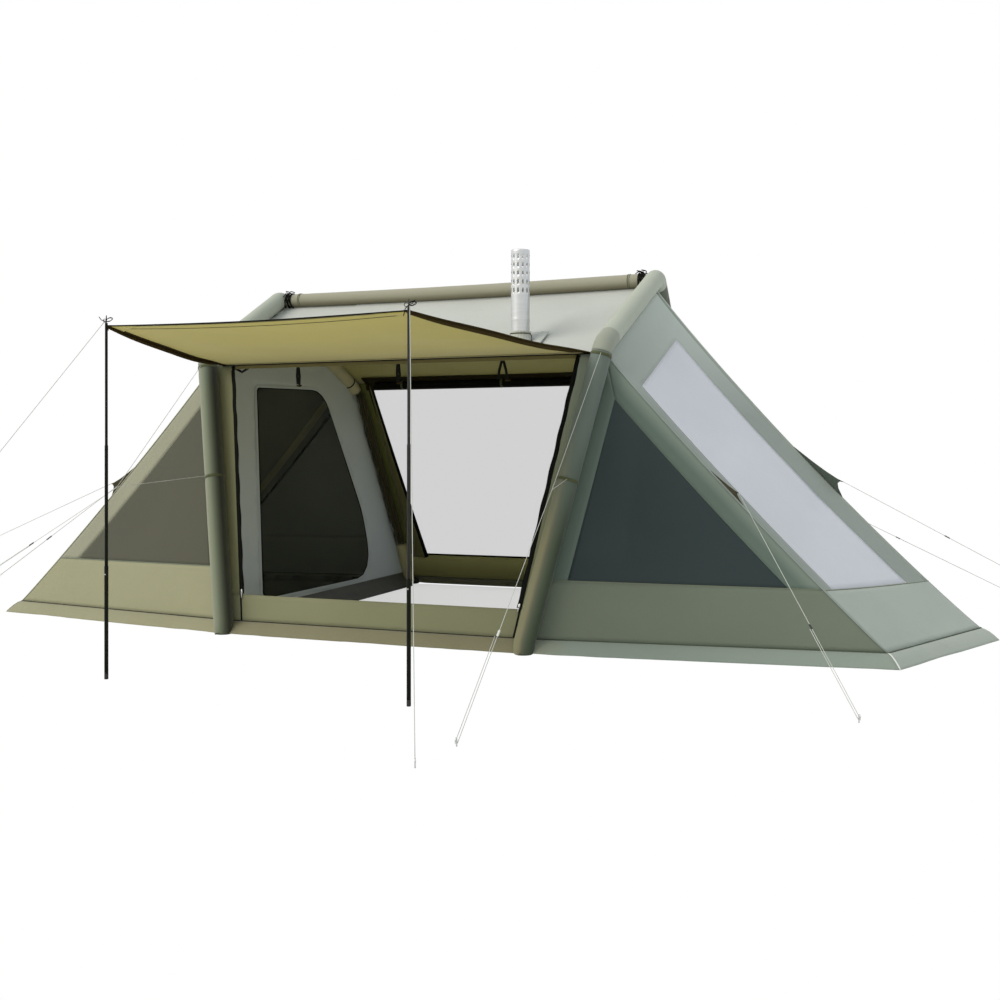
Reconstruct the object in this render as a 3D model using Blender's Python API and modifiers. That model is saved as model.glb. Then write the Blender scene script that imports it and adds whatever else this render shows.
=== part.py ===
"""Inflatable tent: two leaning air arches, a ridge beam, a fabric body with two pointed wings,
an awning door on two poles, a partition with a mesh door, a flue and its guy lines.

Metres. X runs along the ridge, Y from the front door to the back, Z up.
"""

import math

import bmesh
import bpy
from mathutils import Matrix, Vector

# Air beams, measured to the tubes' axes
ARCH_TUBE_D = 0.12
RIDGE_TUBE_D = 0.10
FOOT_HALF_X = 0.938
FOOT_HALF_Y = 1.344
KNEE_HALF_X = 1.304
KNEE_HALF_Y = 1.0
KNEE_Z = 1.683
APEX_HALF_X = 1.3825
APEX_Z = 2.2
FOOT_RISE = 0.045
BEND_SPARE = 0.008
SLEEVE_WALL = 0.002
HOSE_D = 0.024

# Fabric and fits
FABRIC = 0.003
CLEAR = 0.0003
SEAM_Z = 0.07
SKIRT_OUT = 0.085
SKIRT_TUCK = 0.075
SKIRT_TAPER = 0.06
CORNER_X = 2.784
CORNER_Y = 1.029
TIP_X = 3.28

# Wing windows
BAND_H = 0.385
MESH_LEG_STRIP = 0.125
MESH_HIP_STRIP = 0.13
WINDOW_TOP_SHARES = (0.135, 0.112)
WINDOW_MIDDLE_SHARES = (0.47, 0.487)
WINDOW_LOW_SHARES = (0.80, 0.862)
WINDOW_RISE_SHARES = (0.075, 0.43, 0.78)

# Doorways
JAMB_TOP_W = 0.15
JAMB_BOTTOM_W = 0.091
FRONT_SILL_Z = 0.225
BACK_SILL_Z = 0.25
ZIP_W = 0.008
SLIDER_W = 0.014
SLIDER_H = 0.03
SLIDER_T = 0.006
BACK_ROLL_D = 0.07

# Awning and its poles
AWNING_EAVE_HALF = 1.222
AWNING_OUT_Y = 2.63
AWNING_OUT_Z = 1.685
POLE_LEFT_X = 0.709
POLE_RIGHT_X = 0.879
POLE_LOWER_D = 0.019
POLE_MIDDLE_D = 0.016
POLE_TOP_D = 0.013
POLE_LOWER_TOP = 0.54
POLE_MIDDLE_TOP = 1.115
POLE_TOP_Z = 1.70
POLE_SPIKE_D = 0.005
POLE_SPIKE_L = 0.035
POLE_STUB = 0.05
POLE_BORE_DEPTH = 0.52

# Partition of the left wing and its mesh door; places are along Y and up Z
DOOR_HINGE_LOW = (-0.86, 0.14)
DOOR_HINGE_TOP = (-0.50, 1.53)
DOOR_FREE_TOP = (0.41, 1.56)
DOOR_FREE_MID = (0.69, 0.62)
DOOR_FREE_LOW = (0.68, 0.13)
DOOR_SMALL_R = 0.03
DOOR_TOP_R = 0.20
DOOR_MID_R = 0.6
DOOR_LOW_R = 0.26
FLOOR_EDGE = 0.03

# Flue and stove jack
FLUE_D = 0.113
FLUE_WALL = 0.0015
FLUE_X = 0.726
FLUE_Y = 0.75
FLUE_LOW_Z = 1.60
FLUE_TOP_Z = 2.283
ROOF_HOLE_D = 0.17
JACK_SIDE = 0.28

# Inflation valve on the right arch's back leg
VALVE_Z = 0.35
VALVE_D = 0.03
VALVE_STAND_OUT = 0.012
CAP_T = 0.005

# Guy lines
LINE_D = 0.003
LINE_SIDES = 8
KNEE_STRAP_Z = 1.62
LEG_STRAP_Z = 0.93
TAB_ROOT = 0.16
TAB_REACH = 0.09
TAB_HIP_SHARES = (0.47, 0.04)
TAB_RIDGE_SHARES = (0.57, 0.96)
ADJUSTER_L = 0.034
ADJUSTER_D = 0.011
PEG_D = 0.006
PEG_TOP_Z = 0.036
PEG_HOOK = 0.014
PEG_LINE_Z = 0.02

TUBE_SIDES = 24
TURN_STEPS = 24
POLE_STEPS = 12

# Values that follow from the sizes above
HALF = FABRIC / 2
ARCH_R = ARCH_TUBE_D / 2
RIDGE_R = RIDGE_TUBE_D / 2
SEAT = ARCH_R + CLEAR + HALF
BEND_R = ARCH_R + BEND_SPARE
WALL_SLOPE = (FOOT_HALF_Y - KNEE_HALF_Y) / KNEE_Z
ROOF_SLOPE = (APEX_Z - KNEE_Z) / KNEE_HALF_Y
SLANT_LEAN = (APEX_HALF_X - KNEE_HALF_X) / KNEE_HALF_Y
LEAN = (KNEE_HALF_X - FOOT_HALF_X) / KNEE_Z
WALL_STRETCH = math.hypot(1, WALL_SLOPE)
ROOF_STRETCH = math.hypot(1, ROOF_SLOPE)


def leg_x(z):
    """Half the distance between the arches' legs at a height."""
    return FOOT_HALF_X + LEAN * z


def leg_y(z):
    """The leg axis's distance from the centre plane at a height."""
    return FOOT_HALF_Y - WALL_SLOPE * z


def wall_y(z, inset=0.0):
    """The wall fabric's distance from the centre plane, seated on the legs' inner side."""
    return leg_y(z) - (SEAT + inset) * WALL_STRETCH


def roof_z(y, inset=0.0):
    """The roof fabric's height, seated under the arches' slants."""
    return APEX_Z - ROOF_SLOPE * y - (SEAT + inset) * ROOF_STRETCH


def eave(inset=0.0):
    """Where wall and roof meet: the distance from the centre plane, and the height."""
    ridge_z = roof_z(0.0, inset)
    y = (wall_y(0.0, inset) - WALL_SLOPE * ridge_z) / (1 - WALL_SLOPE * ROOF_SLOPE)
    return y, roof_z(y, inset)


EAVE_Y, EAVE_Z = eave()
DOOR_TOP_HALF = leg_x(EAVE_Z) - JAMB_TOP_W
DOOR_BOTTOM_HALF = leg_x(SEAM_Z) - JAMB_BOTTOM_W
RIDGE_FABRIC_Z = roof_z(0.0)
RIDGE_AXIS_Z = RIDGE_FABRIC_Z + HALF * ROOF_STRETCH + CLEAR + RIDGE_R
FRONT_Y = AWNING_OUT_Y + POLE_LOWER_D / 2
BACK_Y = leg_y(FOOT_RISE) + ARCH_R
SHIFT_Y = (FRONT_Y - BACK_Y) / 2


def clear_scene():
    for old in list(bpy.data.objects):
        bpy.data.objects.remove(old, do_unlink=True)


def collection(name):
    made = bpy.data.collections.new(name)
    bpy.context.scene.collection.children.link(made)
    return made


clear_scene()
TENT = collection("inflatable_tent")
CUTTERS = collection("cutters")
ORIGIN = bpy.data.objects.new("tent_origin", None)
ORIGIN.location = (0, SHIFT_Y, 0)
TENT.objects.link(ORIGIN)


def material(name, colour, roughness=0.85, metallic=0.0):
    made = bpy.data.materials.new(name)
    made.use_nodes = True
    shader = made.node_tree.nodes["Principled BSDF"]
    shader.inputs["Base Color"].default_value = (*colour, 1)
    shader.inputs["Roughness"].default_value = roughness
    shader.inputs["Metallic"].default_value = metallic
    return made


ROOF_GREY = (0.50, 0.53, 0.48)
GREEN = (0.20, 0.23, 0.17)
OLIVE = (0.33, 0.30, 0.13)
BEAM = (0.30, 0.32, 0.26)
MESH_GREY = (0.05, 0.05, 0.05)
STEEL = (0.72, 0.72, 0.72)
CLEAR_FILM = (0.55, 0.58, 0.62)
BLACK = (0.02, 0.02, 0.02)
POLE_GREEN = (0.05, 0.06, 0.04)
LINE_GREY = (0.55, 0.55, 0.52)


def add(name, data, colour, roughness=0.85, metallic=0.0):
    """A named sub-part in the tent's collection, with its own material, carried by the origin."""
    made = bpy.data.objects.new(name, data)
    data.materials.append(material(name, colour, roughness, metallic))
    TENT.objects.link(made)
    made.parent = ORIGIN
    return made


def as_cutter(obj):
    """Hides an object that only cuts or joins, and keeps it apart from the parts."""
    for owner in list(obj.users_collection):
        owner.objects.unlink(obj)
    CUTTERS.objects.link(obj)
    obj.hide_render = True
    obj.display_type = "WIRE"
    return obj


def boolean(obj, other, operation):
    step = obj.modifiers.new(operation.lower(), "BOOLEAN")
    step.operation = operation
    step.object = as_cutter(other)
    return obj


def to_mesh(obj):
    """The curve object made a welded mesh object of the same name and place."""
    bpy.context.view_layer.update()
    graph = bpy.context.evaluated_depsgraph_get()
    mesh = bpy.data.meshes.new_from_object(obj.evaluated_get(graph))
    work = bmesh.new()
    work.from_mesh(mesh)
    bmesh.ops.remove_doubles(work, verts=work.verts, dist=FABRIC / 100)
    bmesh.ops.recalc_face_normals(work, faces=work.faces)
    work.to_mesh(mesh)
    work.free()
    name, parent, place = obj.name, obj.parent, obj.matrix_world.copy()
    owners = list(obj.users_collection)
    bpy.data.objects.remove(obj, do_unlink=True)
    made = bpy.data.objects.new(name, mesh)
    for owner in owners:
        owner.objects.link(made)
    made.parent = parent
    if parent:
        made.matrix_parent_inverse = Matrix.Translation((0, 0, 0))
        made.matrix_local = parent.matrix_world.inverted() @ place
    else:
        made.matrix_world = place
    return made


def rounded(points, radius, steps=3):
    """The open path through the points, with its inner corners rounded to the radius."""
    path = [Vector(points[0])]
    for before, corner, after in zip(points, points[1:], points[2:]):
        corner = Vector(corner)
        back = (Vector(before) - corner).normalized()
        ahead = (Vector(after) - corner).normalized()
        half = back.angle(ahead) / 2
        reach = radius / math.tan(half)
        centre = corner + (back + ahead).normalized() * radius / math.sin(half)
        start = (corner + back * reach - centre).normalized()
        end = (corner + ahead * reach - centre).normalized()
        for step in range(steps + 1):
            path.append(centre + start.slerp(end, step / steps) * radius)
    path.append(Vector(points[-1]))
    return path


def tube(name, points, diameter, colour, sides=TUBE_SIDES, roughness=0.85, metallic=0.0):
    """A tube along a path, with closed ends."""
    curve = bpy.data.curves.new(name, "CURVE")
    curve.dimensions = "3D"
    curve.bevel_depth = diameter / 2
    curve.bevel_resolution = sides // 2 - 2
    curve.use_fill_caps = True
    spline = curve.splines.new("POLY")
    spline.points.add(len(points) - 1)
    for target, point in zip(spline.points, points):
        target.co = (*point, 1)
    return add(name, curve, colour, roughness, metallic)


def plane_of(points):
    """A matrix whose X and Y lie in the points' plane and whose Z is its normal."""
    origin, along = Vector(points[0]), (Vector(points[1]) - Vector(points[0])).normalized()
    normal = Vector((0, 0, 0))
    for a, b in zip(points, points[1:] + points[:1]):
        normal += (Vector(a) - origin).cross(Vector(b) - origin)
    normal.normalize()
    side = normal.cross(along)
    return Matrix.Translation(origin) @ Matrix((along, side, normal)).transposed().to_4x4()


def panel(name, outline, colour, holes=(), thickness=FABRIC, roughness=0.85):
    """A flat sheet whose mid-plane has this outline, with holes."""
    place = plane_of(outline)
    inverse = place.inverted()
    curve = bpy.data.curves.new(name, "CURVE")
    curve.dimensions = "2D"
    curve.fill_mode = "BOTH"
    curve.extrude = thickness / 2
    for loop in (outline, *holes):
        spline = curve.splines.new("POLY")
        spline.points.add(len(loop) - 1)
        for target, point in zip(spline.points, loop):
            flat = inverse @ Vector(point)
            target.co = (flat.x, flat.y, 0, 1)
        spline.use_cyclic_u = True
    made = add(name, curve, colour, roughness)
    made.matrix_local = place
    return made


def inset(outline, distances):
    """The outline with each edge moved inwards by its own distance; edge i starts at point i."""
    moved = []
    count = len(outline)
    for i in range(count):
        here = Vector(outline[i])
        ahead = (Vector(outline[(i + 1) % count]) - here).normalized()
        back = (here - Vector(outline[i - 1])).normalized()
        sine = max(back.cross(ahead).length, HALF / ARCH_R)
        moved.append(here + ahead * (distances[i - 1] / sine) - back * (distances[i] / sine))
    return moved


def normal_of(a, b, c):
    return (Vector(b) - Vector(a)).cross(Vector(c) - Vector(a)).normalized()


def seam(first, second):
    """How far two sheets stop short of their common line, for the angle between their normals."""
    return HALF * math.tan(first.angle(second) / 2) + CLEAR / 2


def flip(point, x=1, y=1):
    return Vector((point[0] * x, point[1] * y, point[2]))


# The body's corner points at the right front, for the other quarters to mirror
FOOT = Vector((leg_x(SEAM_Z), -wall_y(SEAM_Z), SEAM_Z))
KNEE = Vector((leg_x(EAVE_Z), -EAVE_Y, EAVE_Z))
APEX = Vector((APEX_HALF_X, 0, RIDGE_FABRIC_Z))
CORNER = Vector((CORNER_X, -CORNER_Y, SEAM_Z))
TIP = Vector((TIP_X, 0, SEAM_Z))

WALL_N = normal_of(flip(FOOT, -1), FOOT, KNEE)
ROOF_N = normal_of(flip(KNEE, -1), KNEE, APEX)
ROOF_BACK_N = Vector((ROOF_N.x, -ROOF_N.y, ROOF_N.z))
WING_WALL_N = normal_of(FOOT, CORNER, KNEE)
WING_ROOF_N = (normal_of(KNEE, CORNER, APEX) + normal_of(APEX, CORNER, TIP)).normalized()
WING_ROOF_BACK_N = Vector((WING_ROOF_N.x, -WING_ROOF_N.y, WING_ROOF_N.z))
SKIRT_N = Vector((0, -SEAM_Z, SKIRT_OUT)).normalized()

EAVE_SEAM = seam(WALL_N, ROOF_N)
RIDGE_SEAM = seam(ROOF_N, ROOF_BACK_N)
LEG_SEAM = seam(WALL_N, WING_WALL_N)
HIP_SEAM = seam(WING_WALL_N, WING_ROOF_N)
ARCH_SEAM = seam(ROOF_N, WING_ROOF_N)
WING_RIDGE_SEAM = seam(WING_ROOF_N, WING_ROOF_BACK_N)
BASE_SEAM = seam(WALL_N, SKIRT_N)


def arch_path(side, short=0.0):
    """An arch's axis from its front foot over the apex to its back foot; short trims both ends."""
    foot = Vector((side * leg_x(FOOT_RISE), -leg_y(FOOT_RISE), short))
    rise = Vector((foot.x, foot.y, FOOT_RISE))
    knee = Vector((side * KNEE_HALF_X, -KNEE_HALF_Y, KNEE_Z))
    apex = Vector((side * APEX_HALF_X, 0, APEX_Z))
    bends = rounded([rise, knee, apex, flip(knee, 1, -1), flip(rise, 1, -1)], BEND_R)
    return [foot, *bends, flip(foot, 1, -1)]


def side_name(side):
    return "right" if side > 0 else "left"


def rod(name, start, end, diameter, sides=TUBE_SIDES):
    """A straight cutter from start to end."""
    return to_mesh(tube(name, [Vector(start), Vector(end)], diameter, BLACK, sides))


def air_beams():
    """The two arch sleeves and the ridge sleeve, each round its own bladder."""
    bladder_d = ARCH_TUBE_D - 2 * (SLEEVE_WALL + CLEAR)
    for side in (-1, 1):
        name = side_name(side)
        sleeve = to_mesh(tube("arch_sleeve_" + name, arch_path(side), ARCH_TUBE_D, BEAM))
        space = tube("arch_space_" + name, arch_path(side, SLEEVE_WALL), ARCH_TUBE_D - 2 * SLEEVE_WALL, BLACK)
        boolean(sleeve, to_mesh(space), "DIFFERENCE")
        apex = Vector((side * APEX_HALF_X, 0, RIDGE_AXIS_Z))
        hose = rod("hose_port_" + name, apex, apex - Vector((side * ARCH_TUBE_D, 0, 0)), HOSE_D + 2 * FABRIC)
        boolean(sleeve, hose, "DIFFERENCE")
        if side > 0:
            axis = Vector((leg_x(VALVE_Z), leg_y(VALVE_Z), VALVE_Z))
            port = rod("valve_port", axis, axis - Vector((ARCH_TUBE_D, 0, 0)), VALVE_D + 2 * CLEAR)
            boolean(sleeve, port, "DIFFERENCE")
        tube("arch_bladder_" + name, arch_path(side, SLEEVE_WALL + CLEAR), bladder_d, MESH_GREY)
    ridge_end = APEX_HALF_X - SLANT_LEAN * RIDGE_R - ARCH_R - CLEAR
    ends = [Vector((-ridge_end, 0, RIDGE_AXIS_Z)), Vector((ridge_end, 0, RIDGE_AXIS_Z))]
    sleeve = to_mesh(tube("ridge_sleeve", ends, RIDGE_TUBE_D, BEAM))
    past = [ends[0] - Vector((ARCH_TUBE_D, 0, 0)), ends[1] + Vector((ARCH_TUBE_D, 0, 0))]
    boolean(sleeve, rod("ridge_space", past[0], past[1], RIDGE_TUBE_D - 2 * SLEEVE_WALL), "DIFFERENCE")
    ridge_bladder(ridge_end)


def turned(name, profile, colour, roughness=0.85, metallic=0.0, steps=TURN_STEPS, closed=False):
    """A turned piece: the profile's points are (radius, height), down the outer side."""
    mesh = bpy.data.meshes.new(name)
    edges = [(i, i + 1) for i in range(len(profile) - 1)]
    if closed:
        edges.append((len(profile) - 1, 0))
    mesh.from_pydata([(r, 0, z) for r, z in profile], edges, [])
    made = add(name, mesh, colour, roughness, metallic)
    turn = made.modifiers.new("turn", "SCREW")
    turn.steps = turn.render_steps = steps
    turn.use_merge_vertices = True
    turn.merge_threshold = FABRIC / 100
    return made


def ridge_bladder(ridge_end):
    """The ridge beam's bladder, with a hose spigot at each end that reaches the arch bladders."""
    radius = RIDGE_R - SLEEVE_WALL - CLEAR
    hose_r = HOSE_D / 2
    reach = APEX_HALF_X - SLANT_LEAN * HOSE_D - ARCH_R + SLEEVE_WALL / 2
    shoulder = ridge_end - SLEEVE_WALL
    profile = [
        (0, reach),
        (hose_r, reach),
        (hose_r, shoulder),
        (radius, shoulder),
        (radius, -shoulder),
        (hose_r, -shoulder),
        (hose_r, -reach),
        (0, -reach),
    ]
    made = turned("ridge_bladder", profile, MESH_GREY)
    made.location = (0, 0, RIDGE_AXIS_Z)
    made.rotation_euler = (0, math.pi / 2, 0)


def valve():
    """The inflation valve in the right arch's back leg, and its cap."""
    axis = Vector((leg_x(VALVE_Z), leg_y(VALVE_Z), VALVE_Z))
    lean = math.hypot(1, LEAN)
    seat = (ARCH_R - SLEEVE_WALL) * lean + LEAN * VALVE_D / 2
    stem_out = ARCH_R * lean + VALVE_STAND_OUT
    start = axis - Vector((seat, 0, 0))
    end = axis - Vector((stem_out, 0, 0))
    tube("inflation_valve", [start, end], VALVE_D, BLACK, roughness=0.4)
    lid = end - Vector((CLEAR, 0, 0))
    cap = tube("valve_cap", [Vector((0, 0, -VALVE_D / 2)), Vector((-CAP_T, 0, -VALVE_D / 2))], VALVE_D, BLACK)
    cap.location = lid + Vector((0, 0, VALVE_D / 2))


def roofs():
    """The two roof sheets under the ridge beam; the front one has the flue's hole."""
    for y, name in ((1, "front"), (-1, "back")):
        outline = [flip(KNEE, -1, y), flip(KNEE, 1, y), flip(APEX, 1, y), flip(APEX, -1, y)]
        outline = inset(outline, [EAVE_SEAM, ARCH_SEAM, RIDGE_SEAM, ARCH_SEAM])
        sheet = panel("roof_" + name, outline, ROOF_GREY)
        if name == "front":
            base = Vector((FLUE_X, -FLUE_Y, EAVE_Z))
            hole = rod("roof_hole", base, base + Vector((0, 0, ARCH_TUBE_D * 4)), ROOF_HOLE_D)
            boolean(to_mesh(sheet), hole, "DIFFERENCE")


def front_and_back_walls():
    """The two walls between the legs, each open above its sill."""
    for y, name, sill in ((1, "front", FRONT_SILL_Z), (-1, "back", BACK_SILL_Z)):
        share = (sill - SEAM_Z) / (EAVE_Z - SEAM_Z)
        sill_half = DOOR_BOTTOM_HALF + (DOOR_TOP_HALF - DOOR_BOTTOM_HALF) * share
        top = Vector((DOOR_TOP_HALF, -EAVE_Y, EAVE_Z))
        low = Vector((sill_half, -wall_y(sill), sill))
        outline = [flip(FOOT, -1), FOOT, KNEE, top, low, flip(low, -1), flip(top, -1), flip(KNEE, -1)]
        steps = [BASE_SEAM, LEG_SEAM, EAVE_SEAM, 0, 0, 0, EAVE_SEAM, LEG_SEAM]
        panel(name + "_wall", [flip(p, 1, y) for p in inset(outline, steps)], OLIVE)
        if name == "front":
            zips(low, top)
        else:
            screen = [flip(low, -1, -1), flip(low, 1, -1), flip(top, 1, -1), flip(top, -1, -1)]
            panel("back_screen", inset(screen, [3 * CLEAR, 3 * CLEAR, EAVE_SEAM, 3 * CLEAR]), MESH_GREY)


def zips(low, top):
    """A zip down each side of the front doorway, with its slider at the bottom."""
    along = (top - low).normalized()
    inner = Vector((-1, 0, 0))
    start = low + along * (EAVE_SEAM + CLEAR)
    end = top - along * (EAVE_SEAM + SLIDER_H)
    for side in (-1, 1):
        name = side_name(side)
        near = inner * (CLEAR * math.hypot(1, LEAN))
        far = near + inner * ZIP_W
        outline = [start + far, start + near, end + near, end + far]
        panel("zip_" + name, [flip(p, side) for p in outline], BLACK)
        middle = start + inner * (ZIP_W / 2) + along * (SLIDER_H / 2) + WALL_N * (HALF + CLEAR + SLIDER_T / 2)
        bpy.ops.mesh.primitive_cube_add(size=1)
        box = bpy.context.object
        mesh = box.data
        bpy.data.objects.remove(box, do_unlink=True)
        mesh.transform(Matrix.Diagonal((SLIDER_W, SLIDER_T, SLIDER_H, 1)))
        slider = add("zip_slider_" + name, mesh, STEEL, 0.3, 1.0)
        up = flip(along, side)
        out = WALL_N
        right = out.cross(up)
        frame = Matrix((right, out, up)).transposed().to_4x4()
        slider.matrix_local = Matrix.Translation(flip(middle, side)) @ frame


def patch_point(corners, u, v):
    """A point of the ruled sheet between four corners; u is a pair of shares, along its two long sides."""
    a, b, c, d = (Vector(p) for p in corners)
    return a.lerp(b, u[0]).lerp(d.lerp(c, u[1]), v)


def patch_mesh(name, corners, across, up, hole=None):
    """The ruled sheet cut at shares of its sides, with one block of its cells left out."""
    mesh = bpy.data.meshes.new(name)
    work = bmesh.new()
    grid = {}
    for i, u in enumerate(across):
        for j, v in enumerate(up):
            grid[i, j] = work.verts.new(patch_point(corners, u, v))
    for i in range(len(across) - 1):
        for j in range(len(up) - 1):
            if not hole or not (hole[0] <= i < hole[1] and hole[2] <= j < hole[3]):
                work.faces.new((grid[i, j], grid[i + 1, j], grid[i + 1, j + 1], grid[i, j + 1]))
    for loose in [v for v in work.verts if not v.link_faces]:
        work.verts.remove(loose)
    work.to_mesh(mesh)
    work.free()
    return mesh


def thicken(obj, thickness=FABRIC):
    skin = obj.modifiers.new("thickness", "SOLIDIFY")
    skin.thickness = thickness
    skin.offset = 0
    skin.use_even_offset = True
    return obj


def wing_corners(side, y):
    """The corners of a wing's roof sheet, cut back at its seams."""
    corners = inset([KNEE, CORNER, TIP, APEX], [HIP_SEAM, BASE_SEAM, WING_RIDGE_SEAM, ARCH_SEAM])
    return [flip(p, side, y) for p in corners]


def wings():
    """Each wing's front and back wall and roof, with a mesh window and a film window at the front."""
    low, middle, high = WINDOW_RISE_SHARES
    across = ((0, 0), WINDOW_TOP_SHARES, WINDOW_MIDDLE_SHARES, WINDOW_LOW_SHARES, (1, 1))
    for side in (-1, 1):
        for y, end in ((1, "front"), (-1, "back")):
            name = end + "_" + side_name(side)
            wing_wall(name, side, y)
            corners = wing_corners(side, y)
            hole = (1, 3, 1, 3) if y > 0 else None
            mesh = patch_mesh("wing_roof_" + name, corners, across, (0, low, middle, high, 1), hole)
            thicken(add("wing_roof_" + name, mesh, GREEN))
        wing_window(side)


def wing_window(side):
    """The film window in a wing's front roof."""
    along, rise = CLEAR / (CORNER - KNEE).length, CLEAR / (APEX - KNEE).length
    top = [share + along for share in WINDOW_TOP_SHARES]
    low = [share - along for share in WINDOW_LOW_SHARES]
    first, middle, last = WINDOW_RISE_SHARES
    up = (first + rise, middle, last - rise)
    name = "roof_window_" + side_name(side)
    mesh = patch_mesh(name, wing_corners(side, 1), (top, WINDOW_MIDDLE_SHARES, low), up)
    thicken(add(name, mesh, CLEAR_FILM, 0.3))


def wing_wall(name, side, y):
    """A wing's upright triangle beside the leg, with the mesh window at the front."""
    outline = inset([FOOT, CORNER, KNEE], [BASE_SEAM, HIP_SEAM, LEG_SEAM])
    holes = []
    if y > 0:
        band = (BAND_H - SEAM_Z) / math.hypot(WING_WALL_N.x, WING_WALL_N.y)
        opening = inset([FOOT, CORNER, KNEE], [band, MESH_HIP_STRIP, MESH_LEG_STRIP])
        holes = [[flip(p, side, y) for p in opening]]
        pane = inset(opening, [CLEAR, CLEAR, CLEAR])
        panel("mesh_window_" + side_name(side), [flip(p, side, y) for p in pane], MESH_GREY)
    panel("wing_wall_" + name, [flip(p, side, y) for p in outline], GREEN, holes)


def skirt_stations():
    """Points round the foot of the walls, each with the share of its flare: none beside the legs."""
    inward = Vector((-1, 0, 0))
    outward = (CORNER - FOOT).normalized()
    near, wide = SKIRT_TUCK, SKIRT_TUCK + SKIRT_TAPER
    quarter = [
        (FOOT + inward * wide, 1),
        (FOOT + inward * near, 0),
        (FOOT + outward * near, 0),
        (FOOT + outward * wide, 1),
        (CORNER, 1),
    ]
    half = quarter + [(TIP, 1)] + [(flip(p, 1, -1), k) for p, k in reversed(quarter)]
    return half + [(flip(p, -1, 1), k) for p, k in reversed(half)]


def skirt():
    """The mud flap round the foot of the walls, flared to the ground and tucked in behind the feet."""
    stations = skirt_stations()
    loop = [p for p, _ in stations]
    flared = inset(loop, [-SKIRT_OUT * (1 - HALF / SEAM_Z)] * len(loop))
    drop = BASE_SEAM * SEAM_Z / math.hypot(SEAM_Z, SKIRT_OUT)
    mesh = bpy.data.meshes.new("skirt")
    work = bmesh.new()
    upper = [work.verts.new((p.x, p.y, SEAM_Z - drop)) for p in loop]
    lower = []
    for (base, share), out in zip(stations, flared):
        low = base.lerp(out, share)
        lower.append(work.verts.new((low.x, low.y, HALF)))
    count = len(upper)
    for i in range(count):
        j = (i + 1) % count
        work.faces.new((lower[i], lower[j], upper[j], upper[i]))
    work.to_mesh(mesh)
    work.free()
    thicken(add("skirt", mesh, GREEN))


def partition_point(place):
    """A point of the left partition's plane, from its place along Y and up Z."""
    y, z = place
    lean = (APEX_HALF_X - 4 * FABRIC - FOOT_HALF_X) / RIDGE_FABRIC_Z
    return Vector((-FOOT_HALF_X - lean * z, y, z))


def partition():
    """The sheet that closes off the left wing, its mesh door and the wing's groundsheet."""
    gap = HALF + 2 * CLEAR
    low_z = FABRIC + 2 * CLEAR
    y, z = eave(gap)
    ridge_z = roof_z(0.0, gap)
    low_y = wall_y(SEAM_Z, gap + 3 * FABRIC)
    places = [(-low_y, low_z), (low_y, low_z), (y, z), (0.0, ridge_z), (-y, z)]
    door = door_outline()
    hole = [partition_point(p) for p in door]
    panel("partition", [partition_point(p) for p in places], ROOF_GREY, [hole])
    gaps = [3 * CLEAR] * (len(hole) - 1) + [HALF + 3 * CLEAR]
    leaf = inset(hole, gaps)
    panel("partition_door", leaf, MESH_GREY)
    floor()


def door_outline():
    """The mesh door's outline: a straight hinge side, and rounded corners at its free side."""
    corners = [DOOR_HINGE_LOW, DOOR_FREE_LOW, DOOR_FREE_MID, DOOR_FREE_TOP, DOOR_HINGE_TOP]
    radii = [DOOR_SMALL_R, DOOR_LOW_R, DOOR_MID_R, DOOR_TOP_R, DOOR_SMALL_R]
    steps = [1, 4, 3, 4, 1]
    flat = [Vector((y, z, 0)) for y, z in corners]
    outline = []
    for i, corner in enumerate(flat):
        before, after = flat[i - 1], flat[(i + 1) % len(flat)]
        outline += rounded([before, corner, after], radii[i], steps[i])[1:-1]
    return [(p.x, p.y) for p in outline]


def floor():
    """The left wing's groundsheet, from under the partition to the foot of the walls."""
    under = FOOT_HALF_X - FOOT.x - FABRIC
    edge = inset([FOOT, CORNER, TIP, flip(CORNER, 1, -1), flip(FOOT, 1, -1)], [FLOOR_EDGE] * 4 + [under])
    outline = [Vector((-p.x, p.y, HALF)) for p in edge]
    panel("wing_floor_left", outline, MESH_GREY)


def awning():
    """The front door flap, held up as an awning, hinged along the eave."""
    hinge = Vector((0, -(EAVE_Y + FABRIC + 2 * CLEAR), EAVE_Z))
    out = Vector((0, -AWNING_OUT_Y, AWNING_OUT_Z))
    reach = POLE_TOP_D / 2 + CLEAR
    hem = hinge + Vector((0, 4 * CLEAR, 0))
    outline = [
        hem + Vector((AWNING_EAVE_HALF, 0, 0)),
        hem - Vector((AWNING_EAVE_HALF, 0, 0)),
        out - Vector((POLE_LEFT_X - reach, 0, 0)),
        out + Vector((POLE_RIGHT_X - reach, 0, 0)),
    ]
    panel("awning", outline, OLIVE)


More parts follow.
